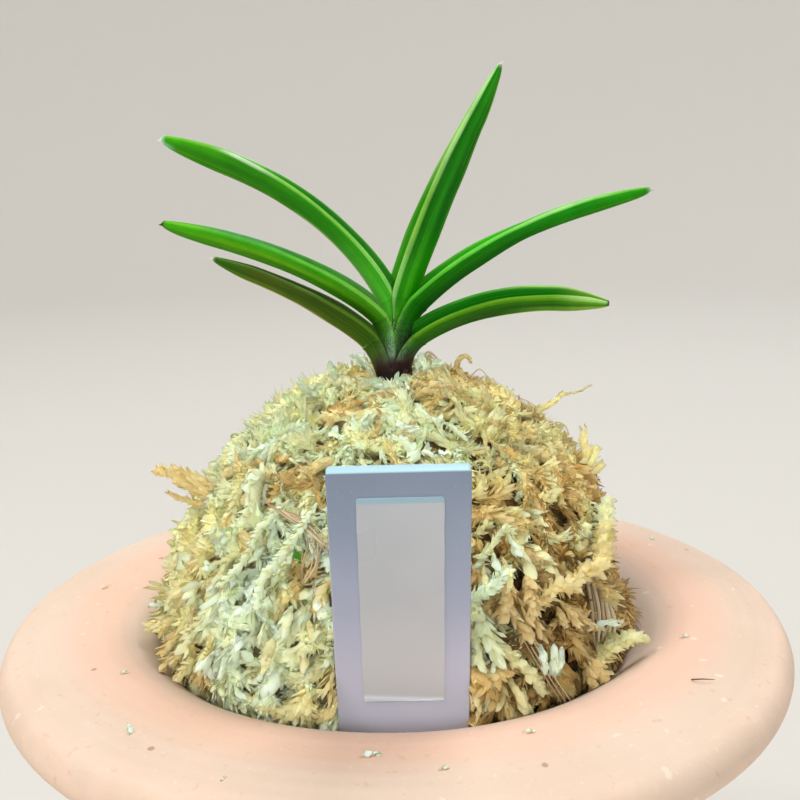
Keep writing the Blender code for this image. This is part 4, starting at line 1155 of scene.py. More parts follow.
def heap_strands(heap, rng, kind, n, K, q, down, length, offset, tone_shift=0.0, light=0.9, **kw):
    """Makes n strands of one kind and sorts them into the moss pieces."""
    P, T, Nn = spines(rng, q, down, length, K, offset, **kw.get("spine", {}))
    heap.laid.append(P[:, 1:].reshape(-1, 3))
    mid = P[:, K // 2]
    tone = np.clip(tone_at(rng, mid) + tone_shift, 0.03, 0.99)
    reg = region(mid)
    shade = np.clip((mid[:, 0] - 4) / 9, 0, 1) * np.clip((113 - mid[:, 2]) / 8, 0, 1)      # painted shade: the right wall, away from the light, is painted darker
    lig = light - 0.40 * shade + rng.normal(0, 0.07, n)
    # painted shade: on the right wall the lower layer and some ropes take dark tones, so the gaps between strands read
    # as deep shade
    if kind == "under":
        tone = np.clip(tone - 0.42 * shade, 0.05, 0.99)
    elif kind in ("rope", "plume"):
        tone = np.where(rng.uniform(0, 1, n) < 0.17 * shade, rng.uniform(0.14, 0.26, n), tone)
    sz = size_at(mid)
    sets = []
    if kind == "rope":
        ell = rng.uniform(1.00, 1.65, n) * sz
        body = rng.uniform(0.50, 0.80, n) * (0.6 + 0.4 * sz)
        sets.append(cores(rng, P, T, Nn, body, tone, lig, lump=0.24))
        sets.append(leaflets(rng, P, T, Nn, kw["M"], ell, ell * rng.uniform(0.22, 0.31, n), np.radians(rng.uniform(18, 44, n)),
                             rng.uniform(-0.34, -0.06, n), rng.uniform(0.30, 0.65, n), body * 0.80, tone, lig, fan=112))
    elif kind == "under":
        ell = rng.uniform(1.1, 1.6, n)
        body = rng.uniform(0.7, 1.0, n)
        # painted shade: the lower layer's bodies are painted dimmer
        sets.append(cores(rng, P, T, Nn, body, tone, lig * 0.7, sides=5, lump=0.2))
        sets.append(leaflets(rng, P, T, Nn, kw["M"], ell, ell * rng.uniform(0.26, 0.36, n), np.radians(rng.uniform(22, 44, n)),
                             rng.uniform(-0.3, 0.0, n), 0.5, body * 0.85, tone, lig, full=False, fan=80))
    elif kind == "plume":
        ell = rng.uniform(1.1, 1.9, n) * sz
        sets.append(leaflets(rng, P, T, Nn, kw["M"], ell, ell * rng.uniform(0.10, 0.16, n), np.radians(rng.uniform(28, 58, n)),
                             rng.uniform(-0.30, 0.12, n), 0.5, rng.uniform(0.16, 0.30, n), tone, lig, full=False, jit=0.24, fan=125))
        sets.append(cores(rng, P, T, Nn, rng.uniform(0.22, 0.36, n), tone * 0.95, lig, sides=5))
    elif kind == "fluff":
        ell = rng.uniform(0.75, 1.25, n) * sz
        sets.append(leaflets(rng, P, T, Nn, kw["M"], ell, ell * rng.uniform(0.22, 0.36, n), np.radians(rng.uniform(20, 55, n)),
                             rng.uniform(-0.25, 0.15, n), rng.uniform(0.2, 0.6, n), rng.uniform(0.15, 0.35, n), tone, lig, jit=0.25, fan=150))
        sets.append(cores(rng, P, T, Nn, rng.uniform(0.25, 0.40, n), tone, lig, sides=5))
    elif kind == "stalk":
        sets.append(threads(P, T, Nn, rng.uniform(0.08, 0.14, n), tone, lig, sides=5, taper=0.35))
    for co, polys, uv in sets:
        co = keep_clear(co)
        V = co.shape[1]
        for r in np.unique(reg):
            pick = np.where(reg == r)[0]
            off = (np.arange(len(pick)) * V)[:, None, None]
            heap.add("moss_stalks" if kind == "stalk" else REGIONS[r], co[pick].reshape(-1, 3), [(p[None] + off).reshape(-1, p.shape[1]) for p in polys],
                     uv[pick].reshape(-1, 2))


def make_moss():
    rng = np.random.default_rng(20)
    mat = moss_material()
    heap = Heap()
    near = np.array((0.0, -1.0, 0.0))

    def counted(n, beta_max=1.93, keep_back=0.62):
        """Scattered starts, thinner behind, where nothing is looked at closely."""
        q = scatter(rng, n, beta_max)
        back = np.clip(q @ -near, 0, 1)
        return q[rng.uniform(0, 1, len(q)) > back * (1 - keep_back)]

    # lower layer, painted dimmer and browner as shade under the strands above it
    q = counted(330)
    n = len(q)
    heap_strands(heap, rng, "under", n, 9, q, heading(rng, q, 0.55), rng.uniform(8, 13, n), rng.uniform(-2.3, -1.6, n),
                 tone_shift=-0.10, light=0.7, M=34, spine=dict(wander=0.7, bow=0.2, dip=0.3))
    # main ropes
    q = counted(620)
    n = len(q)
    heap_strands(heap, rng, "rope", n, 11, q, heading(rng, q, 0.40), rng.uniform(6.5, 12.0, n), rng.uniform(-1.6, -0.75, n),
                 light=0.98, M=56, spine=dict(wander=1.1, bow=0.6, flare=0.45, dip=0.9))
    # feathery plumes
    q = counted(380)
    n = len(q)
    heap_strands(heap, rng, "plume", n, 9, q, heading(rng, q, 0.5), rng.uniform(5, 9.5, n), rng.uniform(-1.1, -0.4, n),
                 tone_shift=-0.05, light=0.95, M=58, spine=dict(wander=1.0, bow=0.5, flare=0.6, dip=0.9))
    # short loose bits on top
    q = counted(760)
    n = len(q)
    heap_strands(heap, rng, "fluff", n, 6, q, rng.uniform(-math.pi, math.pi, n), rng.uniform(1.8, 4.2, n), rng.uniform(-0.7, -0.1, n),
                 tone_shift=0.03, light=1.0, M=16, spine=dict(wander=1.0, bow=0.4, flare=0.7, dip=0.8))
    # small tufts where the core would show
    q = heap.gaps(rng, 110)
    n = len(q)
    heap_strands(heap, rng, "fluff", n, 6, q, rng.uniform(-math.pi, math.pi, n), rng.uniform(1.6, 2.6, n), rng.uniform(-1.2, -0.7, n),
                 light=0.95, M=16, spine=dict(wander=1.2, bow=0.3, flare=0.2, dip=0.2))
    # bare stalks
    q = counted(46)
    n = len(q)
    heap_strands(heap, rng, "stalk", n, 9, q, heading(rng, q, 0.35), rng.uniform(7, 13, n), rng.uniform(-1.3, -0.6, n),
                 tone_shift=-0.14, light=1.0, spine=dict(wander=0.5, bow=0.5, dip=1.1))
    obs = []
    for key in list(heap.parts):
        ob = heap.make(key, stalk_material() if key == "moss_stalks" else mat)
        print("moss piece", key, heap.tris(key))
        obs.append(done(ob, "moss", "moss_mound"))
    return mat


def make_bed():
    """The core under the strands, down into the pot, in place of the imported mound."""
    prof = spline([(0.0, 118.6), (4.4, 118.2), (8.6, 116.8), (13.2, 114.5), (17.4, 111.9), (21.2, 108.8), (24.0, 105.3), (26.3, 101.4),
                   (28.2, 96.9), (29.6, 92.1), (30.1, 88.2), (29.8, 85.6), (28.8, 83.6), (27.6, 81.2), (27.8, 78.0), (28.6, 74.0), (29.2, 68.0),
                   (29.6, 58.0), (29.3, 42.0), (27.9, 25.5), (26.7, 17.6), (24.6, 15.2), (18.0, 15.0), (8.0, 15.0), (0.0, 15.0)], 5)
    prof = prof[1:-1]
    S = 124
    th = np.arange(S) / S * 2 * np.pi
    r, z = prof[:, 0][:, None], prof[:, 1][:, None]
    co = np.stack([r * np.cos(th), r * np.sin(th), z + 0 * th], -1)
    bumps = smooth_noise(co, 3, 3.2) * 0.35 + smooth_noise(co, 4, 1.7) * 0.22
    above = np.clip((z - 76) / 6, 0, 1)
    k = bumps * above - 0.5 * above
    out = unit(co - np.array((0, 0, 92.0)))
    co = co + out * k[..., None]
    co = slim(co)
    low = in_the_pot(co)
    co = np.where((z < 90)[..., None], low, co)
    co = behind_tag(co)
    co = off_the_stem(bare_foot(co, 2.2), 2.2)
    rings = co
    mat = moss_bed_material()
    M = S
    ob = loft("moss_core", rings, mat, np.linspace(0, 1, M + 1), np.linspace(0, 1, len(rings)), tip=(0, 0, 15.0), foot=(0.7, 0, 118.2))
    ob.data.flip_normals()
    return done(ob, "moss", "moss_mound")


def curve_strand(points, per=5):
    P = spline(np.array(points, float), per)[None]
    T = unit(np.gradient(P, axis=1))
    ref = np.where(np.abs(T[..., 2:3]) > 0.95, np.array((0, -1.0, 0)), np.array((0, 0, 1.0)))
    Nn = unit(ref - T * np.sum(ref * T, 2, keepdims=True))
    return P, T, Nn


def make_loose(mat):
    """Single strands that stand out of the dome."""
    rng = np.random.default_rng(77)
    one = lambda v: np.array([float(v)])

    def strand(points, M, ell, wid, alpha, tone, light=0.95, full=True, r0=0.2, taper=0.5, recurve=-0.12, cup=0.4, whole=True, jit=0.2,
               body=None, sides=7, fan=115, wild=1.0):
        """One leafy strand: M leaves of length ell and half width wid on a soft body of radius r0."""
        P, T, Nn = curve_strand(points)
        body = r0 if body is None else body
        sets = [leaflets(rng, P, T, Nn, M, one(ell), one(wid), np.radians(one(alpha)), one(recurve), one(cup), one(r0 * 0.85), one(tone), one(light),
                         full=full, taper=taper, whole=whole, jit=jit, fan=fan, wild=wild),
                cores(rng, P, T, Nn, one(body), one(tone), one(light), sides=sides, lump=0.10)]
        return [(co[0], polys, uv[0]) for co, polys, uv in sets]

    def stalk(points, radius, tone, light=1.0, taper=0.3):
        co, polys, uv = threads(*curve_strand(points), one(radius), one(tone), one(light), sides=6, taper=taper)
        return [(co[0], polys, uv[0])]

    def piece(name, sets, *nodes):
        heap = Heap()
        for co, polys, uv in sets:
            heap.add(name, co if name == "moss_shoots" else slim(co, tips=True), polys, uv)
        done(heap.make(name, mat), "moss", *nodes)

    # the hooked tan shoot right of the stem
    sets = strand([(12.4, -1.4, 115.6), (11.0, -.8, 117.2), (9.8, -.2, 118.5), (8.95, .1, 119.8), (8.8, 0, 120.6), (9.1, 0, 121.3), (9.7, 0, 121.65),
                   (10.3, 0, 121.4), (10.5, 0, 120.9)], 90, .60, .26, 12, .47, 1.15, r0=.46, taper=.45, recurve=-.1, cup=.7, jit=.12, body=.44)
    sets += strand([(8.9, .1, 120.0), (9.3, .2, 119.4), (10.0, .2, 118.6)], 12, .8, .2, 16, .88, 1.1, r0=.2)
    piece("shoot_curl", sets, "moss_strand_curl")
    # a pointed shoot out to the right, thick to its kink and thin beyond
    sets = strand([(15.2, -.8, 112.6), (17.2, -.4, 113.3), (18.8, -.1, 113.9), (20.2, 0, 114.5), (21.4, 0, 115.1), (22.3, 0, 115.9)],
                  80, .95, .30, 15, .60, 1.1, r0=.44, taper=.2, cup=.5, body=.42)
    sets += strand([(21.6, 0, 115.3), (22.4, 0, 115.95), (23.7, 0, 116.3), (25.0, 0, 116.6), (26.3, 0, 117.35)], 22, .9, .17, 8, .60, 1.15, r0=.18, taper=.5,
                   cup=.4, body=.19)
    sets += strand([(18.0, .2, 114.4), (18.8, .1, 114.0), (20.0, -.5, 113.7)], 16, .8, .24, 30, .78, 1.05, r0=.26)
    piece("shoot_spike", sets, "moss_strand_spike")
    # the feathered branch at the left: a comb of leaves to one side, and a claw below it
    sets = strand([(-21.6, -6.8, 104.6), (-24.0, -6.8, 106.2), (-25.8, -6.8, 107.3), (-27.5, -6.8, 108.2), (-29.0, -6.8, 108.8), (-30.0, -6.8, 109.0)],
                  120, 1.15, .36, 34, .48, 1.6, r0=.62, taper=.30, recurve=-.25, cup=.5, body=.5, wild=1.6)
    sets += strand([(-22.4, -6.4, 105.8), (-24.6, -6.3, 107.2), (-26.4, -6.2, 108.3), (-28.2, -6.3, 109.2)], 76, 1.05, .32, 44, .50, 1.6, r0=.42,
                   taper=.4, recurve=-.25, wild=1.6)
    sets += strand([(-22.4, -7.4, 104.4), (-24.4, -7.4, 105.7), (-26.2, -7.3, 106.9), (-27.8, -7.2, 107.8)], 76, 1.05, .34, 38, .47, 1.6, r0=.5,
                   taper=.4, recurve=-.25, wild=1.6)
    sets += strand([(-22.4, -7.6, 104.2), (-24.6, -7.6, 105.0), (-26.2, -7.6, 105.1), (-27.6, -7.6, 105.6), (-28.8, -7.6, 106.4)], 56, .85, .28, 34,
                   .49, 1.5, r0=.28, taper=.5)
    piece("shoot_feather_left", sets, "moss_frond_left")
    # forked tip at the right: a tall narrow shoot that splits, and shorter ones round it
    sets = strand([(24.0, -4.0, 104.6), (25.0, -3.0, 106.6), (25.6, -2.5, 108.6), (25.4, -2.2, 109.8), (25.2, -2.0, 110.8)], 84, 1.4, .38, 17, .62, 1.1,
                  r0=.50, taper=.55, body=.42)
    sets += strand([(25.4, -2.2, 109.4), (25.2, -2.0, 110.8), (24.8, -2.0, 112.0)], 10, 1.0, .20, 8, .60, 1.1, r0=.16, taper=.3)
    sets += strand([(25.6, -2.2, 109.2), (25.5, -2.0, 110.8), (25.5, -2.0, 112.1)], 10, 1.0, .20, 8, .64, 1.1, r0=.16, taper=.3)
    sets += strand([(25.2, -3.2, 106.2), (26.3, -2.7, 107.6), (27.0, -2.4, 109.2)], 30, 1.5, .42, 24, .72, 1.1, r0=.32)
    sets += strand([(25.4, -3.2, 105.4), (26.6, -2.8, 106.4), (27.6, -2.6, 107.2)], 26, 1.3, .36, 26, .66, 1.05, r0=.30)
    sets += strand([(22.6, -4.0, 106.4), (23.4, -3.2, 108.0), (23.6, -2.8, 109.4)], 26, 1.1, .30, 26, .88, 1.05, r0=.30)
    piece("shoot_fork_right", sets, "moss_frond_right")

    extra, bare = [], []
    # golden ruffled branch across the right wall, and a paler one up the edge
    A = [(15.0, -26.6, 97.6), (17.0, -25.8, 98.2), (18.8, -24.8, 99.3), (20.8, -23.2, 99.0), (22.8, -21.4, 99.8), (24.8, -19.5, 99.6), (25.6, -18.4, 100.2)]
    extra += strand(A, 190, .95, .34, 50, .53, 1.2, r0=.58, taper=.1, recurve=-.25, cup=.5, jit=.38, body=.56, wild=1.7)
    extra += strand(A, 80, 1.2, .26, 74, .58, 1.3, r0=.56, taper=.1, recurve=-.1, cup=.4, jit=.4, body=.2, wild=1.7)
    B = [(24.6, -19.0, 98.6), (25.6, -17.2, 100.0), (26.0, -15.6, 101.0), (26.4, -13.8, 102.4)]
    extra += strand(B, 110, .95, .34, 50, .57, 1.2, r0=.56, taper=.1, recurve=-.25, cup=.5, jit=.38, body=.52, wild=1.7)
    extra += strand(B, 44, 1.2, .26, 74, .64, 1.2, r0=.54, taper=.1, recurve=-.1, cup=.4, jit=.4, body=.2, wild=1.7)
    C = [(26.2, -14.6, 102.0), (26.8, -12.6, 103.0), (27.2, -10.4, 103.7), (27.9, -8.0, 104.2)]
    extra += strand(C, 100, .80, .27, 48, .76, 1.0, r0=.44, taper=.3, recurve=-.25, cup=.5, jit=.38, body=.38, wild=1.7)
    extra += strand(C, 40, 1.0, .22, 70, .84, 1.0, r0=.42, taper=.3, recurve=-.1, cup=.4, jit=.4, body=.2, wild=1.7)
    # braided tan strands hanging beside it, and the pointed leaves at their ends
    for pts in ([(12.7, -26.6, 101.4), (12.6, -27.5, 100.0), (12.4, -28.1, 98.8), (12.3, -28.4, 98.0)],
                [(15.1, -25.1, 101.4), (15.3, -26.2, 100.0), (15.4, -26.9, 98.8), (15.5, -27.2, 98.0)]):
        extra += strand(pts, 50, 1.35, .46, 54, .36, 1.2, r0=.66, taper=.1, recurve=-.45, cup=.7, fan=110, whole=False, jit=.22, body=.5)
    for pts in ([(12.8, -28.0, 98.2), (13.6, -28.6, 96.8), (14.2, -29.0, 95.4)], [(15.4, -27.0, 98.0), (15.8, -27.7, 96.4), (16.3, -27.9, 95.0)],
                [(14.2, -27.4, 98.4), (14.8, -28.2, 96.6), (15.0, -28.5, 95.2)]):
        extra += strand(pts, 9, 1.9, .36, 32, .42, 1.15, r0=.25, taper=.1, recurve=-.1, cup=.5, fan=130, whole=False, body=.22)
    # a hand of stubby shoots in the brown hollow
    for pts in ([(19.2, -24.6, 97.4), (20.6, -24.8, 95.6), (21.6, -24.9, 94.0)], [(20.0, -24.2, 96.8), (22.0, -23.8, 95.0), (24.0, -23.0, 93.0)],
                [(18.8, -25.0, 96.8), (19.6, -25.4, 94.8)]):
        extra += strand(pts, 30, .95, .30, 26, .42, 1.15, r0=.42, taper=.4, recurve=-.1, cup=.6, body=.38)
    # fleshy pale leaves low beside the tag, and a white strand above them
    extra += strand([(8.6, -27.8, 99.8), (9.2, -29.4, 98.0), (10.2, -30.4, 95.8), (11.2, -30.8, 93.6)], 60, 1.7, .48, 36, .84, 1.0, r0=.60, taper=.2,
                    recurve=-.2, cup=.6, fan=120, whole=False, jit=.3, body=.70, wild=1.6)
    extra += strand([(8.4, -29.0, 97.4), (8.8, -30.2, 95.2), (9.4, -30.8, 92.8)], 36, 1.5, .44, 38, .82, 1.0, r0=.55, taper=.2,
                    recurve=-.2, cup=.6, fan=120, whole=False, jit=.3, body=.6, wild=1.6)
    extra += strand([(11.6, -29.6, 95.0), (12.6, -30.0, 93.4), (14.2, -29.9, 91.6), (15.6, -29.4, 89.6), (16.4, -28.8, 88.0)], 120, .90, .36, 50, .70, 1.05,
                    r0=.52, taper=.2, recurve=-.2, cup=.4, fan=130, whole=False, jit=.35, body=.50, wild=1.4)
    extra += strand([(11.0, -30.4, 93.4), (10.6, -31.0, 91.2), (10.2, -31.2, 89.4), (9.8, -31.2, 87.4)], 70, .8, .24, 28, .86, 1.0, r0=.30, taper=.4,
                    recurve=-.2, cup=.5, jit=.3, body=.30, wild=1.3)
    for pts, tone in (([(12.6, -29.4, 90.6), (13.0, -30.2, 89.4), (13.6, -30.4, 88.0)], .62), ([(14.2, -29.4, 89.0), (14.4, -29.9, 87.8), (14.6, -29.9, 86.4)], .70),
                      ([(11.8, -30.2, 89.8), (11.9, -30.9, 88.4), (12.2, -31.0, 87.0)], .54), ([(9.0, -30.6, 90.4), (8.9, -31.4, 89.0), (9.0, -31.6, 87.4)], .58)):
        extra += strand(pts, 8, 2.0, .50, 20, tone, 1.0, r0=.35, taper=.1, recurve=-.1, cup=.6, fan=120, whole=False, body=.36, wild=1.5)
    # a downy mint rope below, a thin grey-white one over it, and single leaves that hang from them
    extra += strand([(7.9, -28.9, 99.8), (9.2, -29.2, 100.3), (10.4, -28.9, 100.9), (11.6, -28.2, 101.7), (12.8, -26.9, 102.3)], 150, .85, .24, 46, .93, 1.05,
                    r0=.55, taper=.25, recurve=-.3, cup=.5, jit=.4, body=.50, wild=1.9)
    extra += strand([(8.9, -26.6, 103.9), (9.9, -26.9, 104.2), (10.9, -26.5, 105.1), (11.9, -25.6, 106.2), (12.9, -24.7, 106.5), (13.6, -24.1, 105.9)],
                    100, .75, .20, 40, .82, 1.0, r0=.32, taper=.3, recurve=-.2, cup=.5, jit=.4, body=.30, wild=1.9)
    for pts, tone, ell in (([(11.1, -26.8, 104.4), (11.3, -27.4, 103.4), (11.4, -27.7, 102.4)], .90, 1.5), ([(13.0, -24.9, 105.9), (13.4, -25.5, 104.9), (13.8, -25.8, 104.0)], .92, 1.3),
                           ([(13.6, -24.6, 105.4), (14.4, -25.2, 104.0), (15.0, -25.5, 102.6)], .74, 2.0), ([(10.0, -27.4, 103.0), (10.0, -28.0, 102.0), (10.1, -28.4, 101.0)], .66, 1.4),
                           ([(12.2, -26.4, 103.6), (12.6, -27.0, 102.6), (12.8, -27.3, 101.6)], .72, 1.7)):
        extra += strand(pts, 5, ell, .30 * ell, 16, tone, 1.05, r0=.26, taper=.1, recurve=-.1, cup=.55, fan=120, whole=False, body=.26, wild=1.5)
    # single larger leaves that hang on the left wall
    for x, y, z, tone in ((-21.4, -19.0, 98.8, .97), (-20.4, -20.4, 98.0, .92), (-23.6, -17.6, 98.2, .84), (-18.6, -21.4, 101.2, .95), (-16.2, -24.6, 98.0, .90),
                          (-21.2, -22.6, 91.4, .97), (-19.0, -24.0, 92.6, .93), (-17.4, -25.0, 94.2, .96), (-12.4, -27.8, 92.4, .95), (-14.6, -26.0, 96.4, .88),
                          (-24.2, -19.6, 92.4, .80), (-25.4, -15.6, 97.4, .62), (-26.6, -14.0, 96.0, .56), (-24.8, -17.2, 94.6, .52), (-19.6, -17.8, 104.6, .94),
                          (-15.4, -22.8, 104.4, .92), (-22.6, -14.4, 104.0, .88), (-11.6, -26.8, 98.6, .86), (-10.4, -28.6, 94.6, .70), (-9.8, -28.4, 97.4, .66)):
        p, n = on_mound(unit(np.array((x, y, z)) - CORE)[None])
        p, n = p[0], n[0]
        j = rng.uniform(-1, 1, 4)
        extra += strand([p + n * .1, p + n * (.9 + .2 * j[0]) + (.4 * j[1], 0, -.9), p + n * (1.0 + .3 * j[2]) + (.8 * j[1], 0, -2.0)], 7, 1.9 + .3 * j[3], .52,
                        20, tone, 1.1, r0=.30, taper=.1, recurve=-.15, cup=.6, fan=110, whole=False, body=.34, wild=1.6)
    # a straw-coloured star over the rim, and a tan fringe at the lip
    extra += strand([(-29.4, -8.4, 92.2), (-30.6, -7.6, 92.6), (-31.6, -6.8, 93.2)], 7, 2.2, .42, 34, .66, 1.15, r0=.25, taper=.1, recurve=0.0, cup=.4, body=.3,
                    wild=1.4)
    extra += strand([(-30.6, -8.0, 90.8), (-31.6, -7.4, 90.8), (-32.6, -7.0, 90.6)], 9, 1.0, .34, 24, .97, 1.15, r0=.34, taper=.2, cup=.5, body=.36)
    for x, y, z, tone in ((-28.6, -13.8, 91.6, .60), (-27.4, -16.2, 91.0, .54), (-29.6, -11.4, 91.0, .66), (-26.2, -18.4, 90.0, .56), (-28.2, -15.0, 89.4, .46),
                          (-25.0, -20.4, 89.0, .62), (-30.2, -9.6, 90.0, .58), (-27.6, -16.0, 88.2, .50), (-26.2, -18.8, 87.6, .48)):
        p, n = on_mound(unit(np.array((x, y, z)) - CORE)[None])
        p, n = p[0], n[0]
        j = rng.uniform(-1, 1, 3)
        extra += strand([p - n * .6, p + n * .7 + (0, 0, -.5), p + n * (1.5 + .3 * j[0]) + (0, .5 * j[1], -1.7)], 26, 1.1, .34, 40, tone, 1.1, r0=.40, taper=.25,
                        recurve=-.25, cup=.5, body=.38, wild=1.8)
    # pale strands down the left wall with thin bare stalks on them
    extra += strand([(-8.8, -23.4, 109.6), (-10.8, -25.3, 106.8), (-13.0, -26.4, 104.0), (-15.2, -26.7, 101.4), (-15.8, -27.0, 98.6)],
                    110, 1.1, .34, 44, .88, 1.0, r0=.36, taper=.2, cup=.5, fan=115, whole=False, body=.42)
    extra += strand([(-12.2, -21.6, 109.4), (-15.4, -22.6, 106.6), (-17.4, -23.8, 103.0), (-20.4, -23.2, 99.8)],
                    90, 1.05, .32, 44, .86, 1.0, r0=.34, taper=.2, cup=.5, fan=115, whole=False, body=.38)
    for k in range(7):
        j = rng.uniform(-1, 1, 8)
        x = -0.7 + 0.30 * k
        pts = [(-14.2 + x + .3 * j[0], -21.4, 109.4 - .3 * k), (-11.6 + x + .4 * j[1], -23.9 + .2 * j[2], 108.2 + j[3] * .3),
               (-9.4 + x + .4 * j[4], -25.6 + .3 * j[5], 106.9), (-8.0 + x + .4 * j[6], -26.9, 105.4 + j[7] * .5)]
        bare += stalk(pts, .08 + .025 * (k % 3), .42 + .16 * (k % 4), 1.35)
    for k in range(4):
        j = rng.uniform(-1, 1, 4)
        pts = [(-9.6 + .5 * k, -25.9, 106.4 + .3 * j[0]), (-10.2 + .5 * k + .3 * j[1], -27.2, 103.6), (-10.8 + .4 * k + .4 * j[2], -28.0, 101.0 + j[3])]
        bare += stalk(pts, .09, .50 + .16 * (k % 3), 1.3)
    # bundle of bare stalks on the right edge
    for k in range(19):
        f = k / 18.0
        j = rng.uniform(-1, 1, 10)
        n = unit((24.6 + 1.4 * f, -17.6 + 1.6 * f, 0))
        out = .5 + .25 * j[0]
        pts = [(25.1 + 1.2 * f, -15.1 + 1.5 * f, 99.8 - 1.0 * f + .8 * j[1]), (24.6 + 1.4 * f + .15 * j[2], -17.6 + 1.6 * f, 97.0 - .7 * f),
               (24.3 + 2.1 * f + .2 * j[3], -20.0 + 2.3 * f, 92.8 - 1.0 * f), (24.5 + 1.9 * f + .25 * j[4], -20.8 + 2.5 * f, 88.9 - .6 * f + 1.4 * j[5])]
        pts = [np.array(q) + n * (out * w) for q, w in zip(pts, (-.6, 1.6, 2.4, 1.2))]
        bare += stalk(pts, rng.uniform(.10, .17), rng.uniform(.40, .95), 1.25, taper=.2)
    for f, z, tone in ((.1, 97.6, .52), (.9, 96.0, .56), (.35, 90.4, .50), (.95, 91.2, .46), (.0, 93.6, .60)):
        p = np.array((24.4 + 2.0 * f, -19.0 + 2.2 * f, z))
        n = unit((p[0], p[1], 0))
        extra += strand([p + n * .2, p + n * 1.5 + (0, 0, -.9), p + n * 1.6 + (.1, -.3, -2.2)], 16, 1.1, .28, 34, tone, 1.05, r0=.3, taper=.3, body=.3, wild=1.5)
    extra += strand([(23.2, -23.4, 92.9), (25.4, -21.9, 93.1), (27.4, -20.2, 92.6)], 12, 1.6, .30, 8, .95, 1.15, r0=.25, taper=.4)
    # bare stalks lying across the lower right
    for d in (0, .45, 1.0):
        pts = [(12.6 + d, -28.4, 98.0), (14.4 + d, -29.2, 94.6), (16.8 + d, -29.4, 90.2), (19.2 + d * 1.3, -27.8, 85.6)]
        bare += stalk(pts, .09, .50 + d * .25, 1.2)
    # white drop-shaped leaves low on the right, a feathered tip over the lip, a tan tuft below it, a yellow grain
    for x, y, z, dx, w in ((16.2, -28.6, 93.9, .4, .95), (17.9, -28.0, 93.5, -.1, 1.2), (18.9, -27.5, 92.9, -.5, 1.0)):
        extra += strand([(x, y, z), (x + dx * .5, y - .7, z - 1.0), (x + dx, y - .7, z - 2.0)], 8, 1.6 * w, .60 * w, 11, .96, 1.2, r0=.42 * w, taper=.1,
                        cup=.55, body=.42 * w)
    extra += strand([(23.6, -23.0, 87.4), (25.2, -22.2, 89.2), (27.2, -20.8, 90.0), (29.0, -19.2, 90.0), (30.6, -17.8, 89.2)], 180, .90, .28, 50, .74, 1.05,
                    r0=.52, taper=.35, recurve=-.25, jit=.35, wild=1.9, body=.46)
    for pts in ([(23.0, -23.0, 89.6), (24.4, -23.0, 87.6), (25.0, -22.8, 85.4)], [(22.6, -23.2, 88.6), (23.2, -23.8, 86.6), (23.6, -23.6, 84.6)]):
        extra += strand(pts, 70, 1.0, .34, 46, .46, 1.1, r0=.55, taper=.3, recurve=-.2, body=.5, wild=1.6, jit=.3)
    extra += strand([(-13.9, -29.2, 95.6), (-14.5, -29.9, 94.2), (-15.0, -30.2, 92.6)], 40, 1.0, .56, 12, .72, 1.05, r0=.7, taper=.2, recurve=-.2, cup=.7)
    # a rounded cream hood on the upper left: broad cupped leaves over each other
    extra += strand([(-16.4, -15.6, 111.0), (-16.7, -17.4, 110.9), (-16.7, -19.0, 109.6), (-16.3, -20.1, 107.8)], 15, 2.3, .95, 9, .86, .92, r0=.95, taper=.1,
                    recurve=-.2, cup=.85, fan=95, whole=False, body=1.15, sides=12, jit=.12)
    # pale strands that half cover the green root tip
    for pts, tone in (([(-13.6, -22.2, 107.6), (-12.4, -24.0, 106.4), (-11.2, -25.7, 105.3)], .93), ([(-12.0, -22.6, 107.6), (-11.0, -24.4, 106.2), (-10.6, -25.3, 105.2)], .92),
                      ([(-10.6, -23.6, 107.6), (-9.6, -25.2, 106.0), (-9.0, -26.2, 104.6)], .90)):
        extra += strand(pts, 40, .95, .26, 36, tone, 1.1, r0=.36, taper=.2, recurve=-.2, cup=.5, body=.32)
    # wisps by the stem
    bare += stalk([(4.3, -.6, 119.6), (4.3, -.9, 121.4), (4.7, -1.0, 122.4), (5.3, -1.0, 122.4), (6.2, -1.0, 121.5), (7.2, -1.0, 119.8)], .16, .72, 1.4)
    bare += stalk([(4.6, -.4, 119.6), (4.7, -.7, 121.2), (5.2, -.8, 121.9), (5.9, -.8, 121.3), (6.8, -.8, 119.8)], .10, .82, 1.4)
    bare += stalk([(10.4, 1.2, 118.4), (11.6, 1.0, 119.6), (12.4, .8, 119.2), (13.4, .6, 117.6)], .09, .80, 1.3)
    bare += stalk([(16.6, .2, 116.0), (18.4, 0, 115.2), (19.6, 0, 114.2)], .08, .80, 1.3)
    bare += stalk([(19.8, -2.4, 112.4), (21.6, -1.8, 112.9), (22.8, -1.6, 112.4), (23.4, -1.6, 111.2)], .12, .85, 1.3)
    for pts, tone in (([(3.4, -1.6, 119.8), (3.7, -1.8, 121.2), (3.9, -1.9, 122.0)], .97), ([(-2.2, -1.8, 119.6), (-2.9, -2.1, 121.2), (-3.6, -2.2, 122.2)], .97),
                      ([(-2.9, -.6, 119.8), (-3.8, -.6, 121.3), (-4.8, -.6, 122.1)], .93), ([(-6.4, -3.4, 118.8), (-7.2, -3.6, 120.2), (-7.6, -3.6, 121.2)], .93),
                      ([(-9.8, -4.4, 117.6), (-11.0, -4.8, 119.0), (-11.4, -5.0, 120.0)], .92), ([(4.2, -2.6, 119.4), (4.5, -2.8, 120.6), (4.4, -2.8, 121.4)], .98),
                      ([(4.6, -2.0, 119.6), (5.4, -2.2, 120.8), (6.4, -2.4, 121.2)], .95)):
        extra += strand(pts, 13, 1.15, .36, 22, tone, 1.1, r0=.3, taper=.3, cup=.45)
    for k in range(9):
        j = rng.uniform(-1, 1, 6)
        x, y = 15.8 + 2.2 * j[0], -9.6 + 2.0 * j[1]
        p, n = on_mound(unit(np.array((x, y, 22.0)))[None])
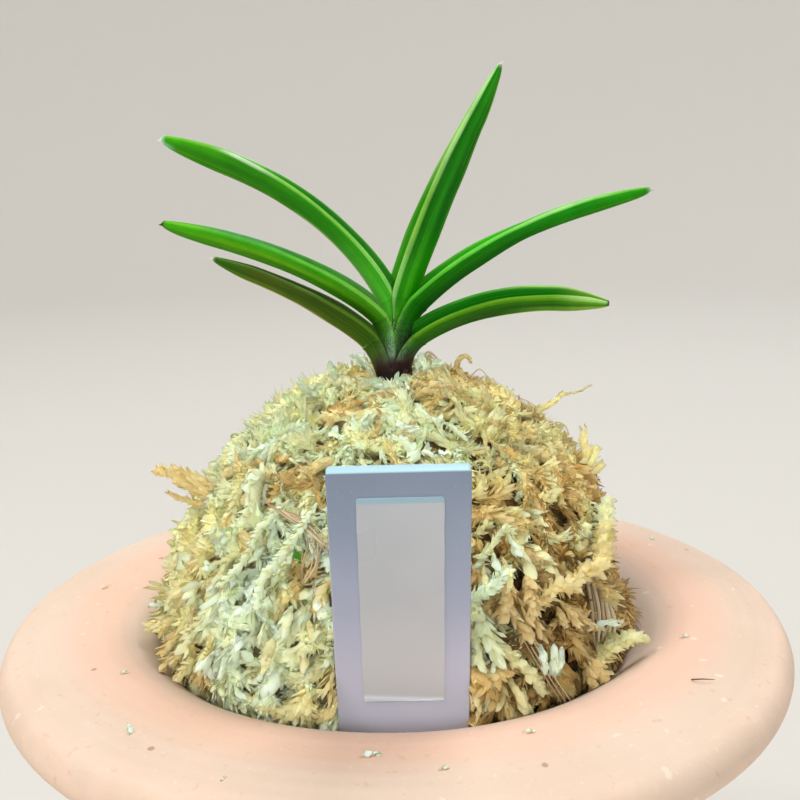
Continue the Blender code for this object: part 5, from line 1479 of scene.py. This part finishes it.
        p, n = p[0], n[0]
        extra += strand([p - n * .8, p + n * .5 + (.5 * j[2], .4 * j[3], -.2), p + n * (.9 + .3 * j[4]) + (1.1 * j[2] + .3, 1.0 * j[3] - .4, -.9)], 26, 1.0, .22, 40,
                        .60 + .05 * j[5], 1.1, r0=.30, taper=.3, body=.28)
    for pts, tone in (([(1.8, -7.0, 118.4), (2.9, -6.9, 119.5), (4.4, -6.8, 119.4), (6.0, -6.4, 119.0), (7.2, -6.0, 118.2)], .47),
                      ([(2.8, -8.4, 118.0), (4.0, -8.3, 118.9), (5.6, -8.0, 118.7), (7.0, -7.4, 118.0)], .52)):
        extra += strand(pts, 110, .80, .20, 42, tone, 1.15, r0=.52, taper=.3, recurve=-.25, cup=.5, jit=.35, body=.46, wild=1.7)
    for pts in ([(-3.0, -3.2, 119.6), (-1.8, -4.6, 120.4), (-0.2, -5.0, 120.5), (1.2, -4.4, 120.3)], [(-0.4, -4.6, 120.2), (0.6, -5.8, 120.3), (0.8, -7.2, 119.7), (0.2, -8.6, 118.6)],
                [(-2.6, -5.0, 119.5), (-2.2, -6.4, 119.6), (-0.9, -7.2, 119.5), (0.2, -6.6, 119.5)], [(2.4, -4.4, 119.9), (2.8, -5.6, 120.0), (2.0, -6.6, 119.8), (2.2, -7.8, 119.0)]):
        extra += strand(pts, 64, .78, .22, 40, .96, 1.1, r0=.50, taper=.3, recurve=-.3, cup=.5, jit=.45, body=.42, wild=2.0)
    piece("moss_shoots", [(keep_clear(co, True), polys, uv) for co, polys, uv in extra], "moss_mound")
    heap = Heap()
    for co, polys, uv in bare:
        heap.add("moss_bare_stalks", keep_clear(co, True), polys, uv)
    done(heap.make("moss_bare_stalks", stalk_material()), "moss", "moss_mound")

    # crumbs of moss on the rim
    crumbs = []
    spots = [(-3.4, -41.6, .9, .20, 1.0, .95), (-33.0, -21.2, .45, .5, .5, .90), (-29.6, -34.5, .8, 1.9, .3, .92), (-18.0, -44.0, .5, .8, .4, .8),
             (4.4, -44.3, .5, .3, .6, .88), (13.7, -37.7, .55, .1, .4, .96), (36.0, -15.0, .55, .2, .5, .97),
             (-41.5, 6.0, .5, .9, .4, .7), (20.0, 39.0, .6, 1.2, .5, .85), (-12.0, 43.5, .5, .3, .4, .6), (40.0, 21.0, .4, 2.2, .5, .9)]
    for x, y, size, turn, cup, tone in spots:
        r = math.hypot(x, y)
        z = 88.0 if r < 40 else float(np.interp(r, [39.8, 44.6, 49.0], [88.0, 87.7, 86.7]))
        z += 0.12
        if r < 39.8:
            z = 77.7 + math.sqrt(max(0, 10.3 ** 2 - (39.8 - r) ** 2)) + 0.12
        c, s = math.cos(turn), math.sin(turn)
        pts = [(x - c * size, y - s * size, z), (x, y, z + .12), (x + c * size, y + s * size, z + .02)]
        P, T, Nn = curve_strand(pts, 3)
        co, polys, uv = leaflets(rng, P, T, Nn, 5, one(size * 1.3), one(size * .42), np.radians(one(8)), one(.05), one(.3), one(.08), one(tone), one(1.2), fan=60)
        crumbs.append((co[0], polys, uv[0]))
    # a thin dark twig
    co, polys, uv = threads(*curve_strand([(34.2, -26.4, 87.95), (35.4, -26.6, 88.1), (36.8, -26.6, 88.0)], 3), one(.09), one(.08), one(.8), sides=5)
    crumbs.append((co[0], polys, uv[0]))
    piece("moss_crumbs", crumbs, "moss_mound")


# ---------------------------------------------------------------- tag
def tag_point(x, y, out):
    """A point on the tag: x across, y down from its top edge, out in front of its face."""
    return TAG_TOP + np.array((x, y * math.sin(TAG_LEAN) - out * math.cos(TAG_LEAN), -y * math.cos(TAG_LEAN) - out * math.sin(TAG_LEAN)))


def make_tag():
    w, r = TAG_W / 2, 0.45
    out = []
    for k in range(6):
        a = math.radians(-90 + 90 * k / 5)
        out.append((w - r + r * math.cos(a), r + r * math.sin(a)))
    for f in np.linspace(0.08, 1, 24):
        out.append((w, r + (TAG_LEN - TAG_POINT - r) * f))
    for f in np.linspace(0.15, 1, 6):
        out.append((w + (1.9 - w) * f, TAG_LEN - TAG_POINT + TAG_POINT * f))
    for f in np.linspace(0.25, 1, 4):
        out.append((1.9 - 3.8 * f, TAG_LEN + 0.25 * math.sin(math.pi * f)))
    for f in np.linspace(0.15, 1, 6):
        out.append((-1.9 + (-w + 1.9) * f, TAG_LEN - TAG_POINT * f))
    for f in np.linspace(0.08, 1, 24):
        out.append((-w, TAG_LEN - TAG_POINT - (TAG_LEN - TAG_POINT - r) * f))
    for k in range(1, 6):
        a = math.radians(180 + 90 * k / 5)
        out.append((-w + r + r * math.cos(a), r + r * math.sin(a)))
    mat = plastic_material()
    solid_plate("tag_plate", out, TAG_THICK, 0.16, mat, "tag_plastic", "name_tag", 0.0, wave=0.03)

    sx, top, hh, sw = 0.10, 3.05, 26.9, 9.2 / 2
    edge = []
    rr = 0.35
    for k in range(5):
        a = math.radians(-90 + 90 * k / 4)
        edge.append((sx + sw - rr + rr * math.cos(a), top + rr + rr * math.sin(a)))
    for f in np.linspace(0.04, 0.985, 26):
        edge.append((sx + sw + 0.02 * math.sin(f * 31), top + rr + (hh - rr * 2) * f))
    for k in range(4):
        a = math.radians(90 * (k + 1) / 4)
        edge.append((sx + sw - .12 + .12 * math.cos(a), top + hh - .12 + .12 * math.sin(a)))
    for f in np.linspace(0.04, 0.96, 24):
        edge.append((sx + sw - .12 - (2 * sw - .24) * f, top + hh + 0.05 * math.sin(f * 43) * f + 0.03 * math.sin(f * 19 + 1)))
    for k in range(4):
        a = math.radians(90 + 90 * (k + 1) / 4)
        edge.append((sx - sw + .12 + .12 * math.cos(a), top + hh - .12 + .12 * math.sin(a)))
    for f in np.linspace(0.04, 0.985, 26):
        edge.append((sx - sw + 0.02 * math.sin(f * 27), top + hh - rr - (hh - rr * 2) * f))
    for k in range(4):
        a = math.radians(180 + 90 * (k + 1) / 4)
        edge.append((sx - sw + rr + rr * math.cos(a), top + rr + rr * math.sin(a)))
    solid_plate("tag_tape_strip", edge, 0.14, 0.05, tape_material(), "tag_tape", "tag_sticker", 0.145, wave=0.012)


def solid_plate(name, outline, thick, bevel, mat, slot, node, front, wave=0.0):
    """A plate with rounded edges and a slight wave, each face one polygon cut into triangles."""
    pts = np.array(outline, float)
    M = len(pts)
    d = unit(np.roll(pts, -1, 0) - np.roll(pts, 1, 0))
    nrm = np.stack([d[:, 1], -d[:, 0]], 1)
    nrm *= np.sign(np.sum(nrm * (pts - pts.mean(0)), 1))[:, None]
    steps = 4
    prof = [(bevel * (1 - math.sin(math.pi / 2 * k / steps)), -bevel * (1 - math.cos(math.pi / 2 * k / steps))) for k in range(steps + 1)]
    loops = [(bevel * 1.8, front)] + [(i, front + o) for i, o in prof] + [(i, front - thick - o) for i, o in prof[::-1]]
    loops += [(bevel * 1.8, front - thick)]
    co = []
    for inset, out in loops:
        q = pts - nrm * inset
        bow = wave * np.sin(q[:, 1] * 0.21 + 0.6)
        co.append([tag_point(x, y, out + b) for (x, y), b in zip(q, bow)])
    co = np.array(co)
    R = len(loops)
    i, j = np.meshgrid(np.arange(R - 1), np.arange(M), indexing="ij")
    i, j = i.ravel(), j.ravel()
    k = (j + 1) % M
    quads = np.stack([i * M + j, (i + 1) * M + j, (i + 1) * M + k, i * M + k], 1)
    me_co = co.reshape(-1, 3)
    lo, hi = pts.min(0), pts.max(0)
    span = (hi - lo)
    flat = []
    for inset, out in loops:
        q = pts - nrm * inset
        u = (q[:, 0] - lo[0]) / span[0]
        v = 1 - (q[:, 1] - lo[1]) / span[1]
        flat.append(np.stack([u * 0.48 + (0.0 if out > front - thick * 0.5 else 0.5) + 0.005, v * 0.99 + 0.005], 1))
    uv = np.vstack(flat)
    ob = build(name, me_co, [quads, np.arange(M)[None, ::1], ((R - 1) * M + np.arange(M))[None, ::-1]], mat, uv=uv)
    me = ob.data
    import bmesh
    bm = bmesh.new()
    bm.from_mesh(me)
    bmesh.ops.triangulate(bm, faces=[f for f in bm.faces if len(f.verts) > 4])
    bmesh.ops.recalc_face_normals(bm, faces=bm.faces)
    bm.to_mesh(me)
    bm.free()
    return done(ob, slot, node)


# ---------------------------------------------------------------- stage, light, camera
def make_stage():
    prof = [(0.0, 0.0), (300, 0.0), (700, 0.0), (900, 0.0)] + [(900 + 500 * math.sin(a), 500 - 500 * math.cos(a)) for a in np.linspace(0.1, math.pi / 2, 14)]
    prof += [(1400, 900), (1400, 1400)]
    S = 96
    th = np.arange(S) / S * 2 * np.pi
    pr = np.array(prof[1:])
    rings = np.stack([pr[:, 0][:, None] * np.cos(th), pr[:, 0][:, None] * np.sin(th), pr[:, 1][:, None] + 0 * th - 0.02], -1)
    ob = loft("floor", rings, plain("floor_paint", (214, 211, 205), 0.8), np.linspace(0, 1, S + 1), np.linspace(0, 1, len(rings)), foot=(0, 0, -0.02))
    ob.data.flip_normals()


def area(name, where, at, size, watts, colour=(1, 1, 1)):
    d = bpy.data.lights.new(name, "AREA")
    d.shape, d.size, d.energy, d.color = "DISK", size, watts, colour
    ob = bpy.data.objects.new(name, d)
    ob.location = Vector(where)
    ob.rotation_euler = (Vector(at) - Vector(where)).to_track_quat("-Z", "Y").to_euler()
    bpy.context.scene.collection.objects.link(ob)


def make_light():
    area("key", (-0.66, -0.38, 1.20), (0, 0, 0.10), 0.55, 9.9, (1.0, 0.97, 0.92))
    area("top", (0.34, 0.50, 1.26), (0, 0, 0.1), 0.8, 9.8, (0.96, 0.98, 1.0))
    area("front", (0.12, -1.02, 0.48), (0, 0, 0.10), 0.42, 3.0, (0.92, 0.96, 1.0))
    w = bpy.data.worlds.new("studio")
    w.use_nodes = True
    w.node_tree.nodes["Background"].inputs[0].default_value = (*lin(240, 243, 250), 1)
    w.node_tree.nodes["Background"].inputs[1].default_value = 0.27
    bpy.context.scene.world = w


def make_camera():
    """Looks down at the dome from the front, turned and tipped by a hair as a hand holds it."""
    theta, yaw, roll = math.radians(13.59), math.radians(0.43), math.radians(-1.25)
    pos = Vector((0.0, -0.15432, 0.15324))
    fwd = Vector((math.sin(yaw) * math.cos(theta), math.cos(yaw) * math.cos(theta), -math.sin(theta)))
    right = Vector((math.cos(yaw), -math.sin(yaw), 0))
    up = right.cross(fwd)
    c, s = math.cos(roll), math.sin(roll)
    r2, u2 = right * c + up * s, up * c - right * s
    cam = bpy.data.cameras.new("camera")
    cam.sensor_width, cam.lens, cam.clip_start, cam.clip_end = 36.0, 54.0, 0.005, 20.0
    ob = bpy.data.objects.new("camera", cam)
    ob.matrix_world = Matrix(((r2.x, u2.x, -fwd.x, pos.x), (r2.y, u2.y, -fwd.y, pos.y), (r2.z, u2.z, -fwd.z, pos.z), (0, 0, 0, 1)))
    bpy.context.scene.collection.objects.link(ob)
    bpy.context.scene.camera = ob


# ---------------------------------------------------------------- all together
make_camera()
make_light()
make_stage()
make_pot()
make_bed()
moss = make_moss()
make_loose(moss)
make_stem()
for leaf, spec in LEAVES.items():
    make_leaf(leaf, spec)
make_tag()
skin = root_material()
for n in ("root_1", "root_2", "root_3", "root_4", "root_5"):
    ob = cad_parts[n]
    for slot_ in ob.material_slots:
        slot_.material = skin
    if not ob.material_slots:
        ob.data.materials.append(skin)

sc = bpy.context.scene
sc.view_settings.view_transform = "Standard"
sc.view_settings.look = "None"
